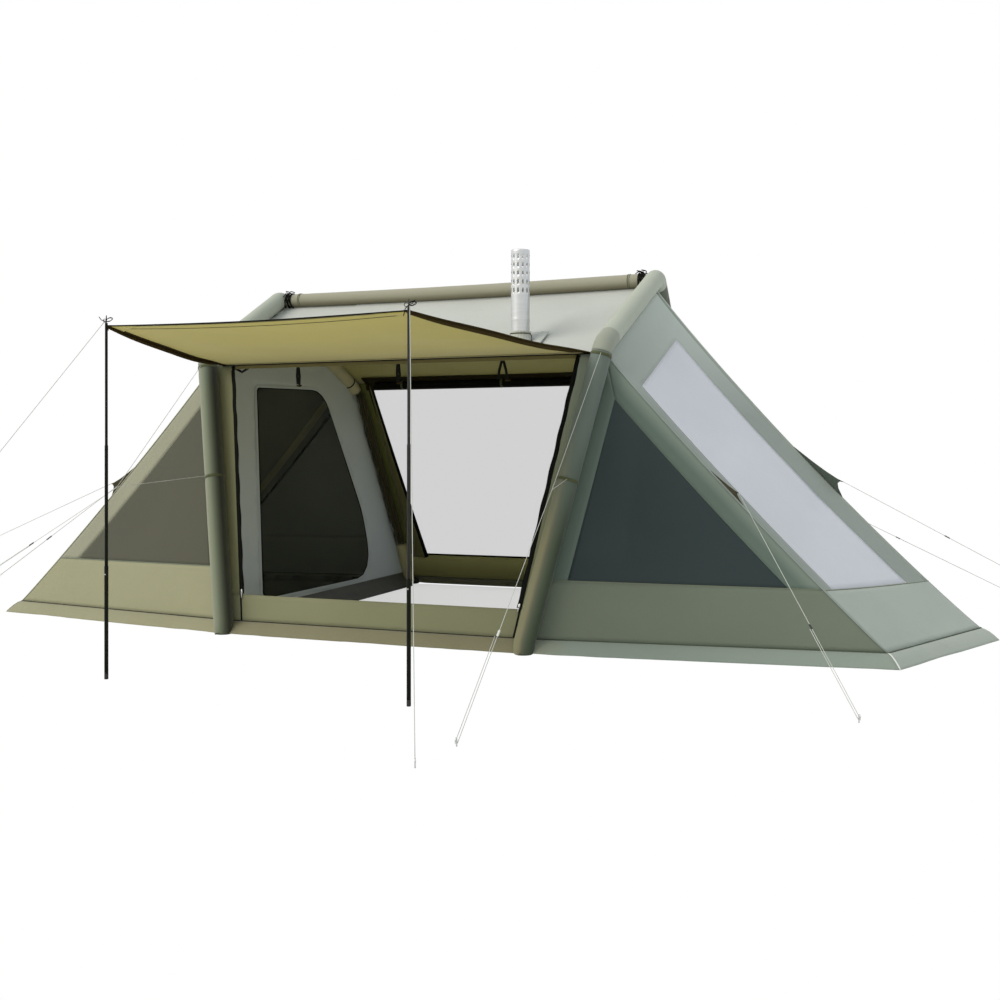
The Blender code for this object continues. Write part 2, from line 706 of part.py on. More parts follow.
def poles():
    """Two telescopic awning poles: an upper length that slides down into the lower tube."""
    bore_r = POLE_MIDDLE_D / 2 + CLEAR
    stub_z = POLE_LOWER_TOP - POLE_STUB
    lower = [
        (0, POLE_LOWER_TOP - POLE_BORE_DEPTH),
        (bore_r, POLE_LOWER_TOP - POLE_BORE_DEPTH),
        (bore_r, POLE_LOWER_TOP),
        (POLE_LOWER_D / 2, POLE_LOWER_TOP),
        (POLE_LOWER_D / 2, 0),
        (0, 0),
    ]
    upper = [
        (0, POLE_TOP_Z + POLE_SPIKE_L),
        (POLE_SPIKE_D / 2, POLE_TOP_Z + POLE_SPIKE_L),
        (POLE_SPIKE_D / 2, POLE_TOP_Z),
        (POLE_TOP_D / 2, POLE_TOP_Z),
        (POLE_TOP_D / 2, POLE_MIDDLE_TOP),
        (POLE_MIDDLE_D / 2, POLE_MIDDLE_TOP),
        (POLE_MIDDLE_D / 2, stub_z),
        (0, stub_z),
    ]
    for name, x in (("left", -POLE_LEFT_X), ("right", POLE_RIGHT_X)):
        for part, profile, colour in (("lower", lower, POLE_GREEN), ("upper", upper, STEEL)):
            made = turned("pole_" + part + "_" + name, profile, colour, 0.4, 0.6, steps=12)
            made.location = (x, -AWNING_OUT_Y, 0)


def flue():
    """The stove jack on the front roof and the flue pipe that stands through it."""
    centre = Vector((FLUE_X, -FLUE_Y, roof_z(FLUE_Y))) + ROOF_N * (FABRIC + CLEAR)
    side = Vector((JACK_SIDE / 2, 0, 0))
    rise = ROOF_N.cross(side)
    corners = [centre - side - rise, centre + side - rise, centre + side + rise, centre - side + rise]
    jack = to_mesh(panel("stove_jack", corners, STEEL))
    base = Vector((FLUE_X, -FLUE_Y, EAVE_Z))
    hole = rod("jack_hole", base, base + Vector((0, 0, ARCH_TUBE_D * 4)), FLUE_D + 4 * CLEAR)
    boolean(jack, hole, "DIFFERENCE")
    outer, inner = FLUE_D / 2, FLUE_D / 2 - FLUE_WALL
    profile = [(outer, FLUE_TOP_Z), (outer, FLUE_LOW_Z), (inner, FLUE_LOW_Z), (inner, FLUE_TOP_Z)]
    pipe = turned("flue_pipe", profile, STEEL, 0.3, 1.0, closed=True)
    pipe.location = (FLUE_X, -FLUE_Y, 0)


def back_roll():
    """The back door, rolled up under the back eave."""
    y, z = eave(BACK_ROLL_D / 2 + HALF + CLEAR)
    half = DOOR_TOP_HALF - BACK_ROLL_D
    tube("back_door_roll", [Vector((-half, y, z)), Vector((half, y, z))], BACK_ROLL_D, BLACK, 12)


def tab(roof_name, side, y, shares, peg):
    """A triangular tab sewn on a wing's roof, pointing towards its line's peg; gives its tip."""
    long_share, rise_share = shares
    corners = wing_corners(side, y)
    root = patch_point(corners, (long_share, long_share), rise_share)
    half_root = (corners[1] - corners[0]).normalized() * (TAB_ROOT / 2)
    tip = root + (peg - root).normalized() * TAB_REACH
    plate = to_mesh(panel("tab_" + roof_name, [root - half_root, root + half_root, tip], GREEN))
    boolean(TENT.objects[roof_name], plate, "UNION")
    return tip


def line_start(piece_end, far):
    """Where a line begins: just clear of the piece that holds it."""
    return piece_end + (far - piece_end).normalized() * CLEAR


def strap_start(side, z, far):
    """A line's start on an arch's front leg, on the side that faces its next point."""
    axis = Vector((side * leg_x(z), -leg_y(z), z))
    along = Vector((side * LEAN, WALL_SLOPE, 1)).normalized()
    reach = (far - axis).normalized()
    graze = reach.dot(along)
    out = (reach - along * graze).normalized()
    return axis + out * (ARCH_R + CLEAR + abs(graze) * LINE_D / 2)


def guy_line(name, knots, share=None, doubled=True, peg=False):
    """A taut line through its knots, back from the far end to its adjuster, and the peg there."""
    knots = [Vector(k) for k in knots]
    start, far = knots[-2], knots[-1]
    along = (far - start).normalized()
    side = along.cross(Vector((0, 0, 1))).normalized()
    spread = PEG_D + LINE_D + 4 * CLEAR
    path = list(knots[:-1])
    if not doubled:
        path.append(far)
    else:
        turn = far + along * PEG_D
        centre = turn + side * (spread / 2)
        path += [turn]
        for step in range(1, 5):
            angle = math.pi * step / 4
            path.append(centre - side * (spread / 2 * math.cos(angle)) + along * (spread / 2 * math.sin(angle)))
        place = start.lerp(far, share)
        path.append(place + side * spread + along * (ADJUSTER_L / 2 + CLEAR))
        adjuster(name, place, along)
    tube("line_" + name, path, LINE_D, LINE_GREY, LINE_SIDES, 0.6)
    if peg:
        peg_head(name, far + side * (spread / 2), Vector((along.x, along.y, 0)).normalized())


def adjuster(name, place, along):
    """A line's tension slider: a short sleeve on the line."""
    outer = ADJUSTER_D / 2
    inner = (LINE_D / 2 + CLEAR) / math.cos(math.pi / POLE_STEPS)
    half = ADJUSTER_L / 2
    profile = [(outer, half), (outer, -half), (inner, -half), (inner, half)]
    made = turned("adjuster_" + name, profile, BLACK, 0.4, steps=POLE_STEPS, closed=True)
    made.location = place
    made.rotation_euler = along.to_track_quat("Z", "Y").to_euler()


def peg_head(name, place, out):
    """The part of a peg that stands above the ground, hooked away from the tent."""
    foot = Vector((place.x, place.y, 0))
    top = Vector((place.x, place.y, PEG_TOP_Z))
    path = rounded([foot, top, top + out * PEG_HOOK], PEG_D, 3)
    tube("peg_" + name, path, PEG_D, STEEL, 8, 0.4, 1.0)


def guy_lines():
    """The lines of the poles, knees, legs and wings; those that run on out of reach stop short."""
    knee_peg = Vector((1.319, -3.143, PEG_LINE_Z))
    knee_meet = Vector((1.31, -1.97, 0.91))
    guy_line("knee_right", [strap_start(1, KNEE_STRAP_Z, knee_meet), knee_meet, knee_peg], 0.63, peg=True)
    aside = Vector((0, 0, -(LINE_D + CLEAR)))
    guy_line("leg_right", [strap_start(1, LEG_STRAP_Z, knee_meet), knee_meet + aside], doubled=False)

    left_meet = Vector((-1.20, -1.96, 0.90))
    knee_end = Vector((-1.742, -2.303, 0.391))
    guy_line("knee_left", [strap_start(-1, KNEE_STRAP_Z, left_meet), left_meet, knee_end], 0.556)
    leg_end = Vector((-2.012, -2.038, 0.414))
    low_meet = left_meet + 2 * aside
    guy_line("leg_left", [strap_start(-1, LEG_STRAP_Z, low_meet), low_meet, leg_end], 0.684)

    pole_side = POLE_SPIKE_D / 2 + LINE_D / 2 + CLEAR
    pole_z = POLE_TOP_Z + POLE_SPIKE_L / 3
    right_top = Vector((POLE_RIGHT_X + pole_side, -AWNING_OUT_Y, pole_z))
    right_peg = Vector((1.282, -3.438, PEG_LINE_Z))
    guy_line("pole_right", [right_top, right_peg], doubled=False)
    away = Vector((right_peg.x - right_top.x, right_peg.y - right_top.y, 0)).normalized()
    peg_head("pole_right", right_peg + away * (PEG_D / 2 + LINE_D / 2 + CLEAR), away)
    left_top = Vector((-POLE_LEFT_X - pole_side, -AWNING_OUT_Y, pole_z))
    guy_line("pole_left", [left_top, (-1.129, -2.903, 1.044)], doubled=False)

    hip_peg = Vector((2.689, -2.261, PEG_LINE_Z))
    tip = tab("wing_roof_front_right", 1, 1, TAB_HIP_SHARES, hip_peg)
    guy_line("hip_right", [line_start(tip, hip_peg), hip_peg], 0.66, peg=True)
    ridge_end = Vector((3.417, 0, 0.416))
    tip = tab("wing_roof_front_right", 1, 1, TAB_RIDGE_SHARES, ridge_end)
    guy_line("ridge_right", [line_start(tip, ridge_end), ridge_end], 0.643)
    back_end = Vector((3.532, 1.339, 0.134))
    tip = tab("wing_roof_back_right", 1, -1, TAB_HIP_SHARES, back_end)
    guy_line("hip_back_right", [line_start(tip, back_end), back_end], 0.516)
    left_end = Vector((-2.566, -1.495, 0.534))
    tip = tab("wing_roof_front_left", -1, 1, TAB_HIP_SHARES, left_end)
    guy_line("hip_left", [line_start(tip, left_end), left_end], doubled=False)


def main():
    air_beams()
    valve()
    roofs()
    front_and_back_walls()
    wings()
    skirt()
    partition()
    awning()
    poles()
    flue()
    back_roll()
    guy_lines()


main()
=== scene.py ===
"""Looks for an inflatable tent. Two leaning air arches and a ridge beam carry a pale fabric body with a
pointed wing at each end; its front door is propped up on two telescopic poles as an awning."""

import math

import bmesh
import bpy
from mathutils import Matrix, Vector, geometry, noise


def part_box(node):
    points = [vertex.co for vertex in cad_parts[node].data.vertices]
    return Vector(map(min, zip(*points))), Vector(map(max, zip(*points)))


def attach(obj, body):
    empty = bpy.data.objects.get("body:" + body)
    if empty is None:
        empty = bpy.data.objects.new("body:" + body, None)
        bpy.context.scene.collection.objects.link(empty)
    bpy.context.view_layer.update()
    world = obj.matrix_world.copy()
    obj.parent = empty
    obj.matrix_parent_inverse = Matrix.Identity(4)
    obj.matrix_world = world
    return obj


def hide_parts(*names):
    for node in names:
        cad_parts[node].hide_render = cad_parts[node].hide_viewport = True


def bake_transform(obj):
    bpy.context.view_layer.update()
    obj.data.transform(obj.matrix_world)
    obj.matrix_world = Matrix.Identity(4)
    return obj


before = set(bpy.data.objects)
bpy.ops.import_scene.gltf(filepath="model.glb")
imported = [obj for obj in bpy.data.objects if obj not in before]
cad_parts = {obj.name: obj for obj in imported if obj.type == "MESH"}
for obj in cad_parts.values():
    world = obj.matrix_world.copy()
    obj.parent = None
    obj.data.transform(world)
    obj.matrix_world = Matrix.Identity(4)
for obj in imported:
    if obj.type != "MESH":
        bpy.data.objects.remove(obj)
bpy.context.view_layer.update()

# The view. A camera at chest height, in front of the doorway and well to its right, level, with the
# horizon just above the middle of the picture. Places are given from the point under the ridge.
CAMERA_PLACE = (2.832, -6.786, 1.0757)
CAMERA_TURN = 20.32
CAMERA_LENS = 38.70
CAMERA_SHIFT = -0.0464
ridge_low, ridge_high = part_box("ridge_sleeve")
RIDGE_Y = (ridge_low.y + ridge_high.y) / 2


def at(x, y, z):
    """A point given from under the middle of the ridge."""
    return Vector((x, y + RIDGE_Y, z))


def added(name, data):
    """A new object in the scene, with this data."""
    made = bpy.data.objects.new(name, data)
    bpy.context.scene.collection.objects.link(made)
    return made


camera = added("camera", bpy.data.cameras.new("camera"))
camera.data.lens = CAMERA_LENS
camera.data.shift_y = CAMERA_SHIFT
camera.location = at(*CAMERA_PLACE)
camera.rotation_euler = (math.radians(90), 0, math.radians(CAMERA_TURN))
bpy.context.scene.camera = camera
bpy.context.scene.view_settings.view_transform = "Standard"


# Daylight and ground. A bright, slightly cool sky, a soft warm sun from the front left, and a white
# ground. Both are plain white where the camera or clear film looks straight at them, and the sky in
# gloss too. Under the tent the ground keeps part of its shade, but more than half of what the camera
# sees there is plain white glow: painted light.
SKY_STRENGTH = 0.60
SKY_HUE = (0.93, 0.98, 1.0, 1.0)
SUN_STRENGTH = 2.0
SUN_SOFTNESS = 42
SUN_HUE = (1.0, 0.95, 0.86)
SUN_FROM = Vector((-0.95, -0.85, 1.05))
WHITE = (1.0, 1.0, 1.0, 1.0)
CHALK = (0.95, 0.95, 0.95, 1.0)
FLOOR_HALF = 60.0
SHADE_HALF_X, SHADE_HALF_Y, UNDER_TENT_GLOW = 0.97, 1.33, 0.57


def linear(code):
    """An sRGB hex colour as linear red, green, blue and alpha."""
    channels = [int(code[i : i + 2], 16) / 255 for i in (0, 2, 4)]
    return (*[c / 12.92 if c <= 0.04045 else ((c + 0.055) / 1.055) ** 2.4 for c in channels], 1.0)


def plug(tree, node, inputs):
    """Sets a node's inputs, by name or number, to values, or links them from outputs; a node that is given
    as the value stands for its first output."""
    for name, value in inputs.items():
        source = value.outputs[0] if isinstance(value, bpy.types.Node) else value
        if isinstance(source, bpy.types.NodeSocket):
            tree.links.new(source, node.inputs[name])
        else:
            node.inputs[name].default_value = source


def add_node(tree, kind, inputs=None, **settings):
    """Adds a shader node with its settings, and plugs its inputs."""
    made = tree.nodes.new("ShaderNode" + kind)
    for name, value in settings.items():
        setattr(made, name, value)
    plug(tree, made, inputs or {})
    return made


def new_material(name):
    """A new material, with its node tree and its shader."""
    made = bpy.data.materials.new(name)
    made.use_nodes = True
    return made, made.node_tree, made.node_tree.nodes["Principled BSDF"]


sky = bpy.data.worlds.new("sky")
bpy.context.scene.world = sky
sky.use_nodes = True
tree = sky.node_tree
tree.nodes.clear()
rays = add_node(tree, "LightPath").outputs
seen = add_node(tree, "Math", {0: rays["Is Camera Ray"], 1: rays["Is Glossy Ray"]}, operation="MAXIMUM")
seen = add_node(tree, "Math", {0: seen, 1: rays["Is Transmission Ray"]}, operation="MAXIMUM")
level = add_node(tree, "Mix", {0: seen, 2: SKY_STRENGTH, 3: 1.0})
hue = add_node(tree, "Mix", {0: seen, 6: SKY_HUE, 7: WHITE}, data_type="RGBA")
light = add_node(tree, "Background", {"Color": hue.outputs[2], "Strength": level})
add_node(tree, "OutputWorld", {"Surface": light})

sun = added("sun", bpy.data.lights.new("sun", "SUN"))
sun.data.energy = SUN_STRENGTH
sun.data.angle = math.radians(SUN_SOFTNESS)
sun.data.color = SUN_HUE
sun.rotation_euler = SUN_FROM.to_track_quat("Z", "Y").to_euler()

# The floor's paint is chalk white without gloss, so that the tent shades it softly and shows no reflection.
floor_mesh = bpy.data.meshes.new("floor")
floor_corners = [(x * FLOOR_HALF, y * FLOOR_HALF, 0) for x, y in ((-1, -1), (1, -1), (1, 1), (-1, 1))]
floor_mesh.from_pydata(floor_corners, [], [(0, 1, 2, 3)])
floor_paint, tree, chalk = new_material("white_floor")
plug(tree, chalk, {"Base Color": CHALK, "Roughness": 1.0, "Specular IOR Level": 0.0})
rays = add_node(tree, "LightPath").outputs
plain = add_node(tree, "Emission", {"Color": WHITE, "Strength": 1.0})
seen = add_node(tree, "Math", {0: rays["Is Camera Ray"], 1: rays["Is Transmission Ray"]}, operation="MAXIMUM")
place = add_node(tree, "TexCoord").outputs["Object"]
from_middle = add_node(tree, "VectorMath", {0: place, 1: (0, RIDGE_Y, 0)}, operation="SUBTRACT")
from_middle = add_node(tree, "VectorMath", {0: from_middle}, operation="ABSOLUTE")
axes = add_node(tree, "SeparateXYZ", {0: from_middle}).outputs
past_x = add_node(tree, "Math", {0: axes["X"], 1: SHADE_HALF_X}, operation="GREATER_THAN")
past_y = add_node(tree, "Math", {0: axes["Y"], 1: SHADE_HALF_Y}, operation="GREATER_THAN")
outside = add_node(tree, "Math", {0: past_x, 1: past_y}, operation="MAXIMUM")
# Inside the tent's footprint the camera sees 57 % plain white glow over the shaded chalk: painted light.
bright = add_node(tree, "MapRange", {"Value": outside, "To Min": UNDER_TENT_GLOW})
seen = add_node(tree, "Math", {0: seen, 1: bright}, operation="MULTIPLY")
ground = add_node(tree, "MixShader", {0: seen, 1: chalk, 2: plain})
plug(tree, tree.nodes["Material Output"], {"Surface": ground})
floor_mesh.materials.append(floor_paint)
floor = added("floor", floor_mesh)


# The cloth. Nearly every piece is woven polyester with a soft coating: a matt plain weave with a little
# sheen, slack folds between its seams, and a slightly uneven dye. Its threads are 0.6 mm apart and are
# drawn at twice that, so that a close view shows them. To a metre, the dye has 1.7 patches (590 mm each)
# and 90 flecks (11 mm), and the slack 7 folds (140 mm). Each mesh carries a cloth map in metres.
THREAD, COARSE_THREAD, FINE_THREAD = 0.0012, 0.0016, 0.0008
PATCHES, FLECKS, FOLDS = 1.7, 90.0, 7.0
# How much the flecks add to the dye, and how far light and shade painted round a sleeve cover its colour.
FLECK_SHARE, PAINTED_SHADING_HOLD = 0.25, 0.9
FOLD_DEEP, FOLD_STRENGTH, WEAVE_STRENGTH = 0.012, 0.35, 0.25
LEG_GIRTH, RIDGE_GIRTH = 0.371, 0.303
RIGHT, BACK, UP = Vector((1, 0, 0)), Vector((0, 1, 0)), Vector((0, 0, 1))


def woven(name, colour, faded, thread=THREAD, slack=1.0, roughness=0.8, sheen=0.2, gloss=0.3, alpha=1.0,
          drift=None, painted_girth_shading=None):
    """Woven cloth. drift is (colour, direction, start, end): it turns to that colour along the direction,
    a painted gradient of light and shade. The last argument is a sleeve's girth and its (share, colour)
    pairs round it: light and shade painted round the sleeve."""
    made, tree, shader = new_material(name)
    place = add_node(tree, "TexCoord").outputs["Object"]
    flat = add_node(tree, "UVMap", uv_map="cloth").outputs["UV"]
    warp, weft = (
        add_node(tree, "TexWave", {"Vector": flat, "Scale": math.pi / thread / 10}, bands_direction=way)
        for way in ("X", "Y")
    )
    weave = add_node(tree, "Math", {0: warp.outputs["Fac"], 1: weft.outputs["Fac"]}, operation="MAXIMUM")
    dye = add_node(tree, "TexNoise", {"Vector": place, "Scale": PATCHES, "Detail": 5.0, "Roughness": 0.55})
    fleck = add_node(tree, "TexNoise", {"Vector": place, "Scale": FLECKS, "Detail": 2.0})
    uneven = add_node(tree, "Math", {0: fleck, 1: FLECK_SHARE, 2: dye}, operation="MULTIPLY_ADD")
    share = add_node(tree, "MapRange", {"Value": uneven, "From Min": 0.40, "From Max": 0.85})
    tint = add_node(tree, "Mix", {0: share, 6: linear(colour), 7: linear(faded)}, data_type="RGBA").outputs[2]
    # Light and shade painted round a sleeve, laid over its cloth's own colour.
    if painted_girth_shading:
        girth, stops = painted_girth_shading
        spot = add_node(tree, "SeparateXYZ", {0: flat})
        turn = add_node(tree, "Math", {0: spot, 1: girth}, operation="DIVIDE")
        ramp = add_node(tree, "ValToRGB", {"Fac": turn})
        marks = ramp.color_ramp.elements
        for share, shade in stops[1:-1]:
            marks.new(share).color = linear(shade)
        marks[0].color = linear(stops[0][1])
        marks[-1].color = linear(stops[-1][1])
        tint = add_node(tree, "Mix", {0: PAINTED_SHADING_HOLD, 6: tint, 7: ramp}, data_type="RGBA").outputs[2]
    if drift:
        shade, way, start, end = drift
        along = add_node(tree, "VectorMath", {0: place, 1: way}, operation="DOT_PRODUCT").outputs["Value"]
        turn = add_node(tree, "MapRange", {"Value": along, "From Min": start, "From Max": end})
        tint = add_node(tree, "Mix", {0: turn, 6: tint, 7: linear(shade)}, data_type="RGBA").outputs[2]
    fold = add_node(tree, "TexNoise", {"Vector": place, "Scale": FOLDS, "Detail": 3.0, "Distortion": 0.4})
    strength = FOLD_STRENGTH * slack
    folds = add_node(tree, "Bump", {"Strength": strength, "Distance": FOLD_DEEP, "Height": fold})
    grain = {"Strength": WEAVE_STRENGTH, "Distance": thread / 3, "Height": weave, "Normal": folds}
    plug(tree, shader, {
        "Base Color": tint, "Normal": add_node(tree, "Bump", grain), "Roughness": roughness,
        "Sheen Weight": sheen, "Sheen Roughness": 0.5, "Specular IOR Level": gloss, "Alpha": alpha,
    })
    return made


def narrow(name, colour, faded, thread=COARSE_THREAD, **looks):
    """Woven tape, webbing or netting, which is pulled tight and has no folds."""
    return woven(name, colour, faded, thread, slack=0.0, **looks)


def mesh_of(work):
    """The worked shape as a new mesh."""
    mesh = bpy.data.meshes.new("shape")
    work.to_mesh(mesh)
    work.free()
    return mesh


def joined(meshes):
    """One mesh out of several."""
    work = bmesh.new()
    for one in meshes:
        work.from_mesh(one)
        bpy.data.meshes.remove(one)
    return mesh_of(work)


def piece(name, mesh, body, finishes, *nodes):
    """A finished object of a mesh, or of several joined, that stands for these nodes. It rides on its body;
    given instead two bodies with the places where a bend would start and end, it keeps its place."""
    made = added(name, joined(mesh) if isinstance(mesh, list) else mesh)
    made.data.name = name
    for one in finishes if isinstance(finishes, (list, tuple)) else [finishes]:
        made.data.materials.append(one)
    if isinstance(body, tuple):
        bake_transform(made)
    else:
        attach(made, body)
    if nodes:
        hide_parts(*nodes)
    return made


def skin(rows, wrap=False, caps=False, weld=True):
    """A mesh over rows of points, with its cloth map; wrap closes each row, caps close the ends."""
    work = bmesh.new()
    chart = work.loops.layers.uv.new("cloth")
    grid = [[work.verts.new(p) for p in row] for row in rows]
    along = [0.0]
    for before, after in zip(rows, rows[1:]):
        along.append(along[-1] + sum((b - a).length for a, b in zip(before, after)) / len(before))
    middle = rows[len(rows) // 2]
    across = [0.0]
    for before, after in zip(middle, middle[1:] + middle[:1]):
        across.append(across[-1] + (after - before).length)
    count = len(middle)
    for i in range(len(rows) - 1):
        for j in range(count if wrap else count - 1):
            k = (j + 1) % count
            face = work.faces.new((grid[i][j], grid[i][k], grid[i + 1][k], grid[i + 1][j]))
            face.smooth = True
            corners = ((j, i), (j + 1, i), (j + 1, i + 1), (j, i + 1))
            for corner, (a, b) in zip(face.loops, corners):
                corner[chart].uv = (across[a], along[b])
    if caps:
        work.faces.new(list(reversed(grid[0])))
        work.faces.new(grid[-1])
    if weld:
        bmesh.ops.remove_doubles(work, verts=work.verts, dist=0.0001)
    if wrap:
        bmesh.ops.recalc_face_normals(work, faces=work.faces)
    return mesh_of(work)


def frames(path, up=None):
    """The direction, and two directions across it, at each point of a path, with no needless twist."""
    found = []
    for i in range(len(path)):
        ahead = path[min(i + 1, len(path) - 1)] - path[max(i - 1, 0)]
        ahead.normalize()
        if up is not None:
            side = up[i] if isinstance(up, list) else up
        elif found:
            side = found[-1][1]
        else:
            side = UP if abs(ahead.z) < 0.9 else RIGHT
        side = (side - ahead * side.dot(ahead)).normalized()
        found.append((ahead, side, ahead.cross(side)))
    return found


def swept(path, outline, up=None, scale=None, caps=True):
    """A closed outline, as (across, up) pairs, carried along a path."""
    rows = []
    for i, (point, (_, rise, side)) in enumerate(zip(path, frames(path, up))):
        size = scale[i] if scale else 1.0
        rows.append([point + side * (a * size) + rise * (b * size) for a, b in outline])
    return skin(rows, wrap=True, caps=caps)


def circle(radius, sides=8):
    """The section of a cord."""
    turns = [math.tau * i / sides for i in range(sides)]
    return [(radius * math.sin(a), radius * math.cos(a)) for a in turns]


def tape(width, thick):
    """The section of a flat tape with eased edges, lying on the surface."""
    w, t = width / 2, thick
    return [(-w, 0), (-w, t * 0.6), (-w + t, t), (w - t, t), (w, t * 0.6), (w, 0)]


def ring(middle, one, other, radius, sides):
    """The closed path round a point, in the plane of two directions."""
    turns = spaced(0.0, math.tau, sides)
    return [middle + (one * math.cos(a) + other * math.sin(a)) * radius for a in turns]


def hoop(middle, one, other, radius, section, sides=40):
    """A tape or cord round a point, in the plane of two directions."""
    path = ring(middle, one, other, radius, sides)
    return swept(path, section, [(p - middle).normalized() for p in path], caps=False)


def bent(points, radius, steps):
    """The open path through the points, its corners rounded to the radius."""
    path = [points[0].copy()]
    for before, corner, after in zip(points, points[1:], points[2:]):
        back = (before - corner).normalized()
        ahead = (after - corner).normalized()
        half = back.angle(ahead) / 2
        reach = radius / math.tan(half)
        centre = corner + (back + ahead).normalized() * radius / math.sin(half)
        start = (corner + back * reach - centre).normalized()
        end = (corner + ahead * reach - centre).normalized()
        path += [centre + start.slerp(end, step / steps) * radius for step in range(steps + 1)]
    return path + [points[-1].copy()]


def even(points, step):
    """The path with points added, so that no stretch of it is longer than the step."""
    path = [points[0].copy()]
    for before, after in zip(points, points[1:]):
        count = max(1, math.ceil((after - before).length / step))
        path += [before.lerp(after, i / count) for i in range(1, count + 1)]
    return path


def spaced(low, high, count):
    """The values from low to high in this number of equal steps."""
    return [low + (high - low) * i / count for i in range(count + 1)]


def through(stops, counts):
    """The values through the stops, with each gap cut into its own number of equal steps."""
    row = [stops[0]]
    for low, high, count in zip(stops, stops[1:], counts):
        row += spaced(low, high, count)[1:]
    return row


# Light and shade painted round each leg's girth: paler at its left, dark at its right. Towards its top the
# right leg turns an even, cooler grey-green: painted shade.
LEG_PAINTED_SHADING = {
    "left": [
        (0.0, "343829"), (0.05, "383C30"), (0.20, "4B5244"), (0.45, "6A705A"), (0.58, "85886F"),
        (0.665, "878A77"), (0.75, "777F6A"), (0.812, "616857"), (0.868, "454A3D"), (0.927, "26261C"),
        (1.0, "343829"),
    ],
    "right": [
        (0.0, "32402F"), (0.06, "32402F"), (0.20, "4B5244"), (0.45, "6A705A"), (0.56, "888869"),
        (0.617, "888869"), (0.704, "898467"), (0.7625, "636754"), (0.8155, "4F5947"), (0.872, "434E3C"),
        (0.938, "32412E"), (1.0, "32402F"),
    ],
}
LEG_DRIFTS = {"left": None, "right": ("657068", UP, 0.6, 1.2)}
pale_cloth = woven("pale_grey_green_oxford", "B9BCB7", "C2C5C0")
# The slanting sleeves' back halves are drawn in the leg's moss colour: painted shade on their far slope.
far_slope_shade_cloth = woven("slant_far_half_shade_painted", "565D4D", "5D6453", slack=0.6)
leg_cloths = {
    name: woven("moss_oxford_shade_painted_" + name, "565D4D", "5D6453", slack=0.6,
                drift=LEG_DRIFTS[name], painted_girth_shading=(LEG_GIRTH, LEG_PAINTED_SHADING[name]))
    for name in ("left", "right")
}
# Webbing and tapes are ribbed and dull. The black ones hardly gleam. The air tubes are smooth TPU film.
webbing = narrow("olive_webbing", "464B2C", "4D5233")
black_webbing = narrow("black_webbing", "0F100E", "161714", sheen=0.0, gloss=0.08)
air_film = woven("tpu_air_film", "A9ACAA", "B2B5B3", thread=0.002, slack=0.2, roughness=0.35)


# The air beams. Each arch is a sleeve round an airtight tube: a leg, a knee, a slanting beam over the
# ridge, and down again. The pale slanting sleeve ends in a cuff over the darker leg at each knee, and a
# webbing strap holds a line's ring on each leg, with a second one just under the knee.
FOOT_X, FOOT_Y, FOOT_RISE = 0.938, 1.344, 0.045
KNEE_X, KNEE_Y, KNEE_Z, KNEE_BEND = 1.304, 1.0, 1.683, 0.1
APEX_X, APEX_Z = 1.3825, 2.2
ARCH_R, RIDGE_R = 0.06, 0.05
LEAN = (KNEE_X - FOOT_X) / KNEE_Z
WALL_SLOPE = (FOOT_Y - KNEE_Y) / KNEE_Z
SLEEVE_SIDES, TUBE_SIDES, SLEEVE_STEP = 40, 16, 0.03
SLEEVE_SHARE = 0.985
STRAP_ZS, STRAP_W, STRAP_T = (0.93, 1.62), 0.016, 0.0025
CUFF_LONG = 0.125
SHADED_FROM = 0.06


def leg_axis(side, end, z):
    """The leg's axis at a height; side is +1 at the right, end is -1 at the front."""
    return at(side * (FOOT_X + LEAN * z), end * (FOOT_Y - WALL_SLOPE * z), z)


def beam(path, radius, sides, seed, waist=None, rumple=0.0012):
    """A blown-up sleeve: waist gives the share of the radius at a distance along it."""
    rows, run = [], 0.0
    for i, (point, (_, rise, side)) in enumerate(zip(path, frames(path))):
        run += (point - path[i - 1]).length if i else 0.0
        share = waist(run) if waist else 1.0
        row = []
        for k in range(sides):
            angle = math.tau * k / sides
            across = side * math.sin(angle) + rise * math.cos(angle)
            ripple = noise.noise(Vector((angle * 1.3, run * 5.0, seed))) * rumple
            row.append(point + across * (radius * share + ripple - rumple))
        rows.append(row)
    return skin(rows, wrap=True, caps=True)


def length_of(path):
    """The length of a path."""
    return sum((b - a).length for a, b in zip(path, path[1:]))


def bell(distance, reach):
    """1 at no distance, and soon less beyond the reach."""
    return math.exp(-((distance / reach) ** 2))


def leg_waist(straps, run):
    """A leg's share of its radius: rolled in at the foot and pinched by its straps."""
    pinch = sum(0.035 * bell(run - strap, 0.02) for strap in straps)
    return SLEEVE_SHARE * (1.0 - 0.20 * math.exp(-run / 0.005)) * (1.0 - pinch)


def slant_waist(total, run):
    """A slant's share of its radius: drawn in at its ends and at the seam of its cuffs."""
    from_end = min(run, total - run)
    return 1.0 - 0.02 * math.exp(-from_end / 0.02) - 0.012 * bell(from_end - 0.10, 0.03)


